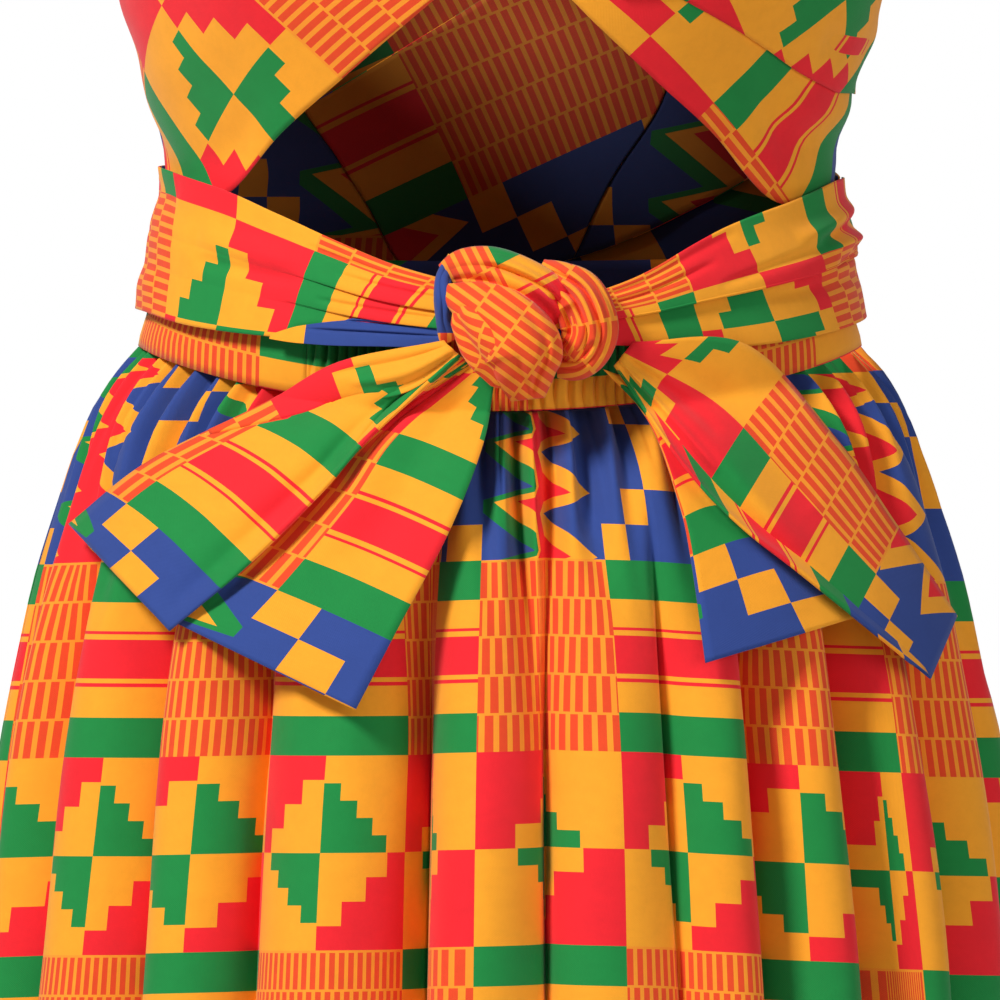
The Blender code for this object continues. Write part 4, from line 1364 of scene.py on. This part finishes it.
def turn_at(rows, share, step):
    """A turn's section at a share of its path, and which way the path runs there."""
    ahead, behind = along(rows, share + step), along(rows, share - step)
    return along(rows, share), Vector((ahead.x - behind.x, ahead.up - behind.up)).normalized()


def knot_turn(name, rows, lay, pleat_count, pleat_depth, creases, size):
    """A fat turn of the knot: a ball drawn out along its path, with pleats along it."""
    ball = bmesh.new()
    bmesh.ops.create_uvsphere(ball, u_segments=ROLL_GRID[0], v_segments=ROLL_GRID[1], radius=1.0,
                              calc_uvs=False)
    pattern_map = ball.loops.layers.uv.new("cloth")
    bake_map = ball.loops.layers.uv.new("OFBake")
    length = path_length(rows)
    spots = {}
    for vertex in ball.verts:
        share = math.acos(min(max(vertex.co.z, -1.0), 1.0)) / math.pi
        ring = math.hypot(vertex.co.x, vertex.co.y)
        turn = math.atan2(vertex.co.y, vertex.co.x)
        around = (0.75 - turn / (2.0 * math.pi)) % 1.0      # a half is the front of the turn
        here, path = turn_at(rows, share, ROLL_STEP)
        girth = GIRTH_OF_TURN * here.half_width
        full = min(1.0, 1.5 * ring)
        pleat = pleat_depth * math.cos(pleat_count * turn + 2.0 * math.sin(turn + 2.0 * share))
        pleat += creased(creases, girth, length, around, share)
        full *= 1.0 + pleat * full / PLEAT_REACH
        sideways = here.half_width * full * math.cos(turn) * size
        out = here.half_thick * full * math.sin(turn) * size
        vertex.co = place(here.x - path.y * sideways, here.up + path.x * sideways, here.out + out)
        spots[vertex] = (around, share, girth)
    for face in ball.faces:
        face.smooth = True
        turns = [spots[loop.vert][0] for loop in face.loops]
        wraps = max(turns) - min(turns) > 0.5
        for loop in face.loops:
            around, share, girth = spots[loop.vert]
            if wraps and around < 0.5:
                around += 1.0
            column, row = print_at(lay, share * length, (around - 0.5) * girth)
            loop[pattern_map].uv = (column * MM, row * MM)
            loop[bake_map].uv = (around, share)
    if ball.calc_volume(signed=True) < 0.0:
        bmesh.ops.reverse_faces(ball, faces=ball.faces)
    return shown(name, ball, poplin)


KNOT_FRONT_CREASES = table(
    Crease, (0.36, 0.1, 0.34, 0.9, 4, -2.6), (0.44, 0.05, 0.47, 0.7, 3.5, 1.6),
    (0.56, 0.2, 0.62, 0.95, 4, -2.2), (0.66, 0.1, 0.7, 0.9, 5, 2))
KNOT_TOP_CREASES = table(
    Crease, (0.42, 0.05, 0.4, 0.95, 3, -3), (0.52, 0.1, 0.54, 0.95, 3, 2),
    (0.62, 0.05, 0.66, 0.9, 3, -2.6))
KNOT_SIDE_CREASES = table(
    Crease, (0.34, 0.1, 0.32, 0.85, 3.5, -3), (0.44, 0.2, 0.46, 0.95, 3, 2.4),
    (0.53, 0.15, 0.58, 0.8, 3.5, -3.4), (0.64, 0.1, 0.7, 0.85, 3.5, 2.2))
# solid, path, lay, pleats and their depth, creases, size beside the solid
KNOT_TURNS = (
    ("knot_front_turn", KNOT_FRONT, Lay(STRIP, 0, 0, 139, 97, 30, AS_CUT), 5, 0.4,
     KNOT_FRONT_CREASES, 0.84),
    ("knot_top_turn", KNOT_TOP, Lay(STRIP, 0, 0, 118, 142, 0, AS_CUT), 6, 0.5, KNOT_TOP_CREASES,
     0.74),
    ("knot_side_turn", KNOT_SIDE, Lay(STRIP, 0, 0, 126, 100, 0, AS_CUT), 6, 0.6,
     KNOT_SIDE_CREASES, 0.62),
)
for turn_name, rows, lay, count, depth, creases, size in KNOT_TURNS:
    settle(knot_turn(turn_name + "_core", rows, lay, count, depth, creases, size), turn_name)

# %% [markdown]
# Over these rolls lies the cloth that shows: a flat petal in front, a pleated turn over the top, a
# loop round a hollow at the right, and a pinch of cloth at the left. Each follows the path of a turn.
# It domes over the roll, curls back at its edges, and has pleats with sharp bottoms, as cotton gets
# where it is pulled tight.

# %% The cloth of the knot
KNOT_PETAL = table(
    Turn, (-20, 19, 112, 3, 2), (-9, 14, 118, 9, 9), (2, 7, 121, 13, 13), (8, -2, 122, 15, 13),
    (9, -11, 119, 11, 11), (10, -20, 112, 6, 6))
KNOT_OVER_TOP = table(
    Turn, (-20, 24, 104, 5, 4), (-13, 27, 109, 7, 9), (-3, 27, 112, 8, 10), (7, 23, 113, 9, 11),
    (15, 18, 113, 9, 10), (21, 12, 110, 8, 8), (24, 7, 105, 6, 5))
KNOT_LOOP = table(
    Turn, (14, 27, 104, 4, 5), (21, 23, 109, 7, 8), (28, 17, 111, 10, 10), (32, 7, 111, 11, 11),
    (31, 0, 110, 10, 10), (27, -5, 108, 8, 8), (20, -6, 105, 6, 5))
KNOT_PINCH = table(
    Turn, (-16, 31, 104, 3, 2), (-20, 24, 108, 3, 4), (-20, 16, 110, 4, 5), (-20, 8, 109, 3, 4),
    (-17, 1, 107, 5, 3))
EDGE_CURL = 2.6             # how squarely the cloth turns down at its edges
PLEAT_SHARP = 0.7
KNOT_STEP = 0.03
KNOT_GRID = (60, 80)


def over_turn(rows, lay, pleats, pleat_depth, creases):
    """Cloth over a turn of the knot; its print lies flat in front, or follows the turn's path."""
    width = 2.0 * max(row.half_width for row in rows)
    length = path_length(rows)

    def surface(across, lengthwise):
        here, path = turn_at(rows, lengthwise, KNOT_STEP)
        side = 2.0 * across - 1.0
        dome = math.sqrt(max(1.0 - abs(side)**EDGE_CURL, 0.0))
        wave = abs(math.sin(math.pi * pleats * across + 0.9 * math.sin(3.0 * lengthwise)
                            + 0.5 * math.sin(7.0 * lengthwise)))
        pleat = pleat_depth * (wave**PLEAT_SHARP - 0.6) * math.sin(math.pi * lengthwise)
        out = here.out + here.half_thick * dome + (
            pleat + creased(creases, width, length, across, lengthwise)) * dome
        sideways = here.half_width * side * (1.0 + 0.04 * math.sin(9.0 * lengthwise))
        x, up = here.x - path.y * sideways, here.up + path.x * sideways
        if lay.measured == STRIP:
            return (place(x, up, out), *print_at(lay, lengthwise * length, sideways))
        return (place(x, up, out), *print_at(lay, x, up))
    return surface


PETAL_CREASES = table(
    Crease, (0.86, 0.08, 0.8, 0.6, 2.2, -2.6), (0.3, 0.1, 0.14, 0.5, 2.4, -2.2),
    (0.84, 0.55, 0.62, 0.97, 1.8, -3.2), (0.34, 0.66, 0.56, 0.97, 2, -1.8))
OVER_TOP_CREASES = table(
    Crease, (0.56, 0.28, 0.62, 0.95, 1.2, -3.4), (0.84, 0.35, 0.8, 0.85, 1.2, -1.8),
    (0.3, 0.05, 0.22, 0.4, 1.4, -2), (0.4, 0.6, 0.3, 0.96, 1.4, -1.6))
LOOP_CREASES = table(
    Crease, (0.22, 0.34, 0.1, 0.74, 3.2, -6), (0.6, 0.04, 0.66, 0.6, 1.2, -3),
    (0.4, 0.06, 0.42, 0.48, 1.2, -2.6), (0.84, 0.2, 0.82, 0.78, 1.2, -2.2),
    (0.62, 0.62, 0.46, 0.96, 1.4, -3))
# name, solid, path, lay, pleats and their depth, creases, flat size
KNOT_CLOTHS = (
    ("knot_petal", "knot_front_turn", KNOT_PETAL, Lay(FRONT, -10, -7, 87, 122, -36, AS_CUT), 2.0, 1.0,
     PETAL_CREASES, (0.040, 0.052)),
    ("knot_over_top", "knot_top_turn", KNOT_OVER_TOP, Lay(FRONT, 0, 0, 156, 123, -63, AS_CUT), 3.0,
     1.4, OVER_TOP_CREASES, (0.028, 0.058)),
    ("knot_round_side", "knot_side_turn", KNOT_LOOP, Lay(STRIP, 0, 0, 105, 88, 0, AS_CUT), 4.0,
     3.4, LOOP_CREASES, (0.034, 0.062)),
    ("knot_pinch", "knot_front_turn", KNOT_PINCH, Lay(FRONT, -20, 16, 35, 12, 90, AS_CUT), 2.0, 1.0,
     (), (0.014, 0.036)),
)
for cloth_name, node, rows, lay, pleats, depth, creases, flat in KNOT_CLOTHS:
    lay_cloth(cloth_name, node, over_turn(rows, lay, pleats, depth, creases), KNOT_GRID,
              facing_in=True)
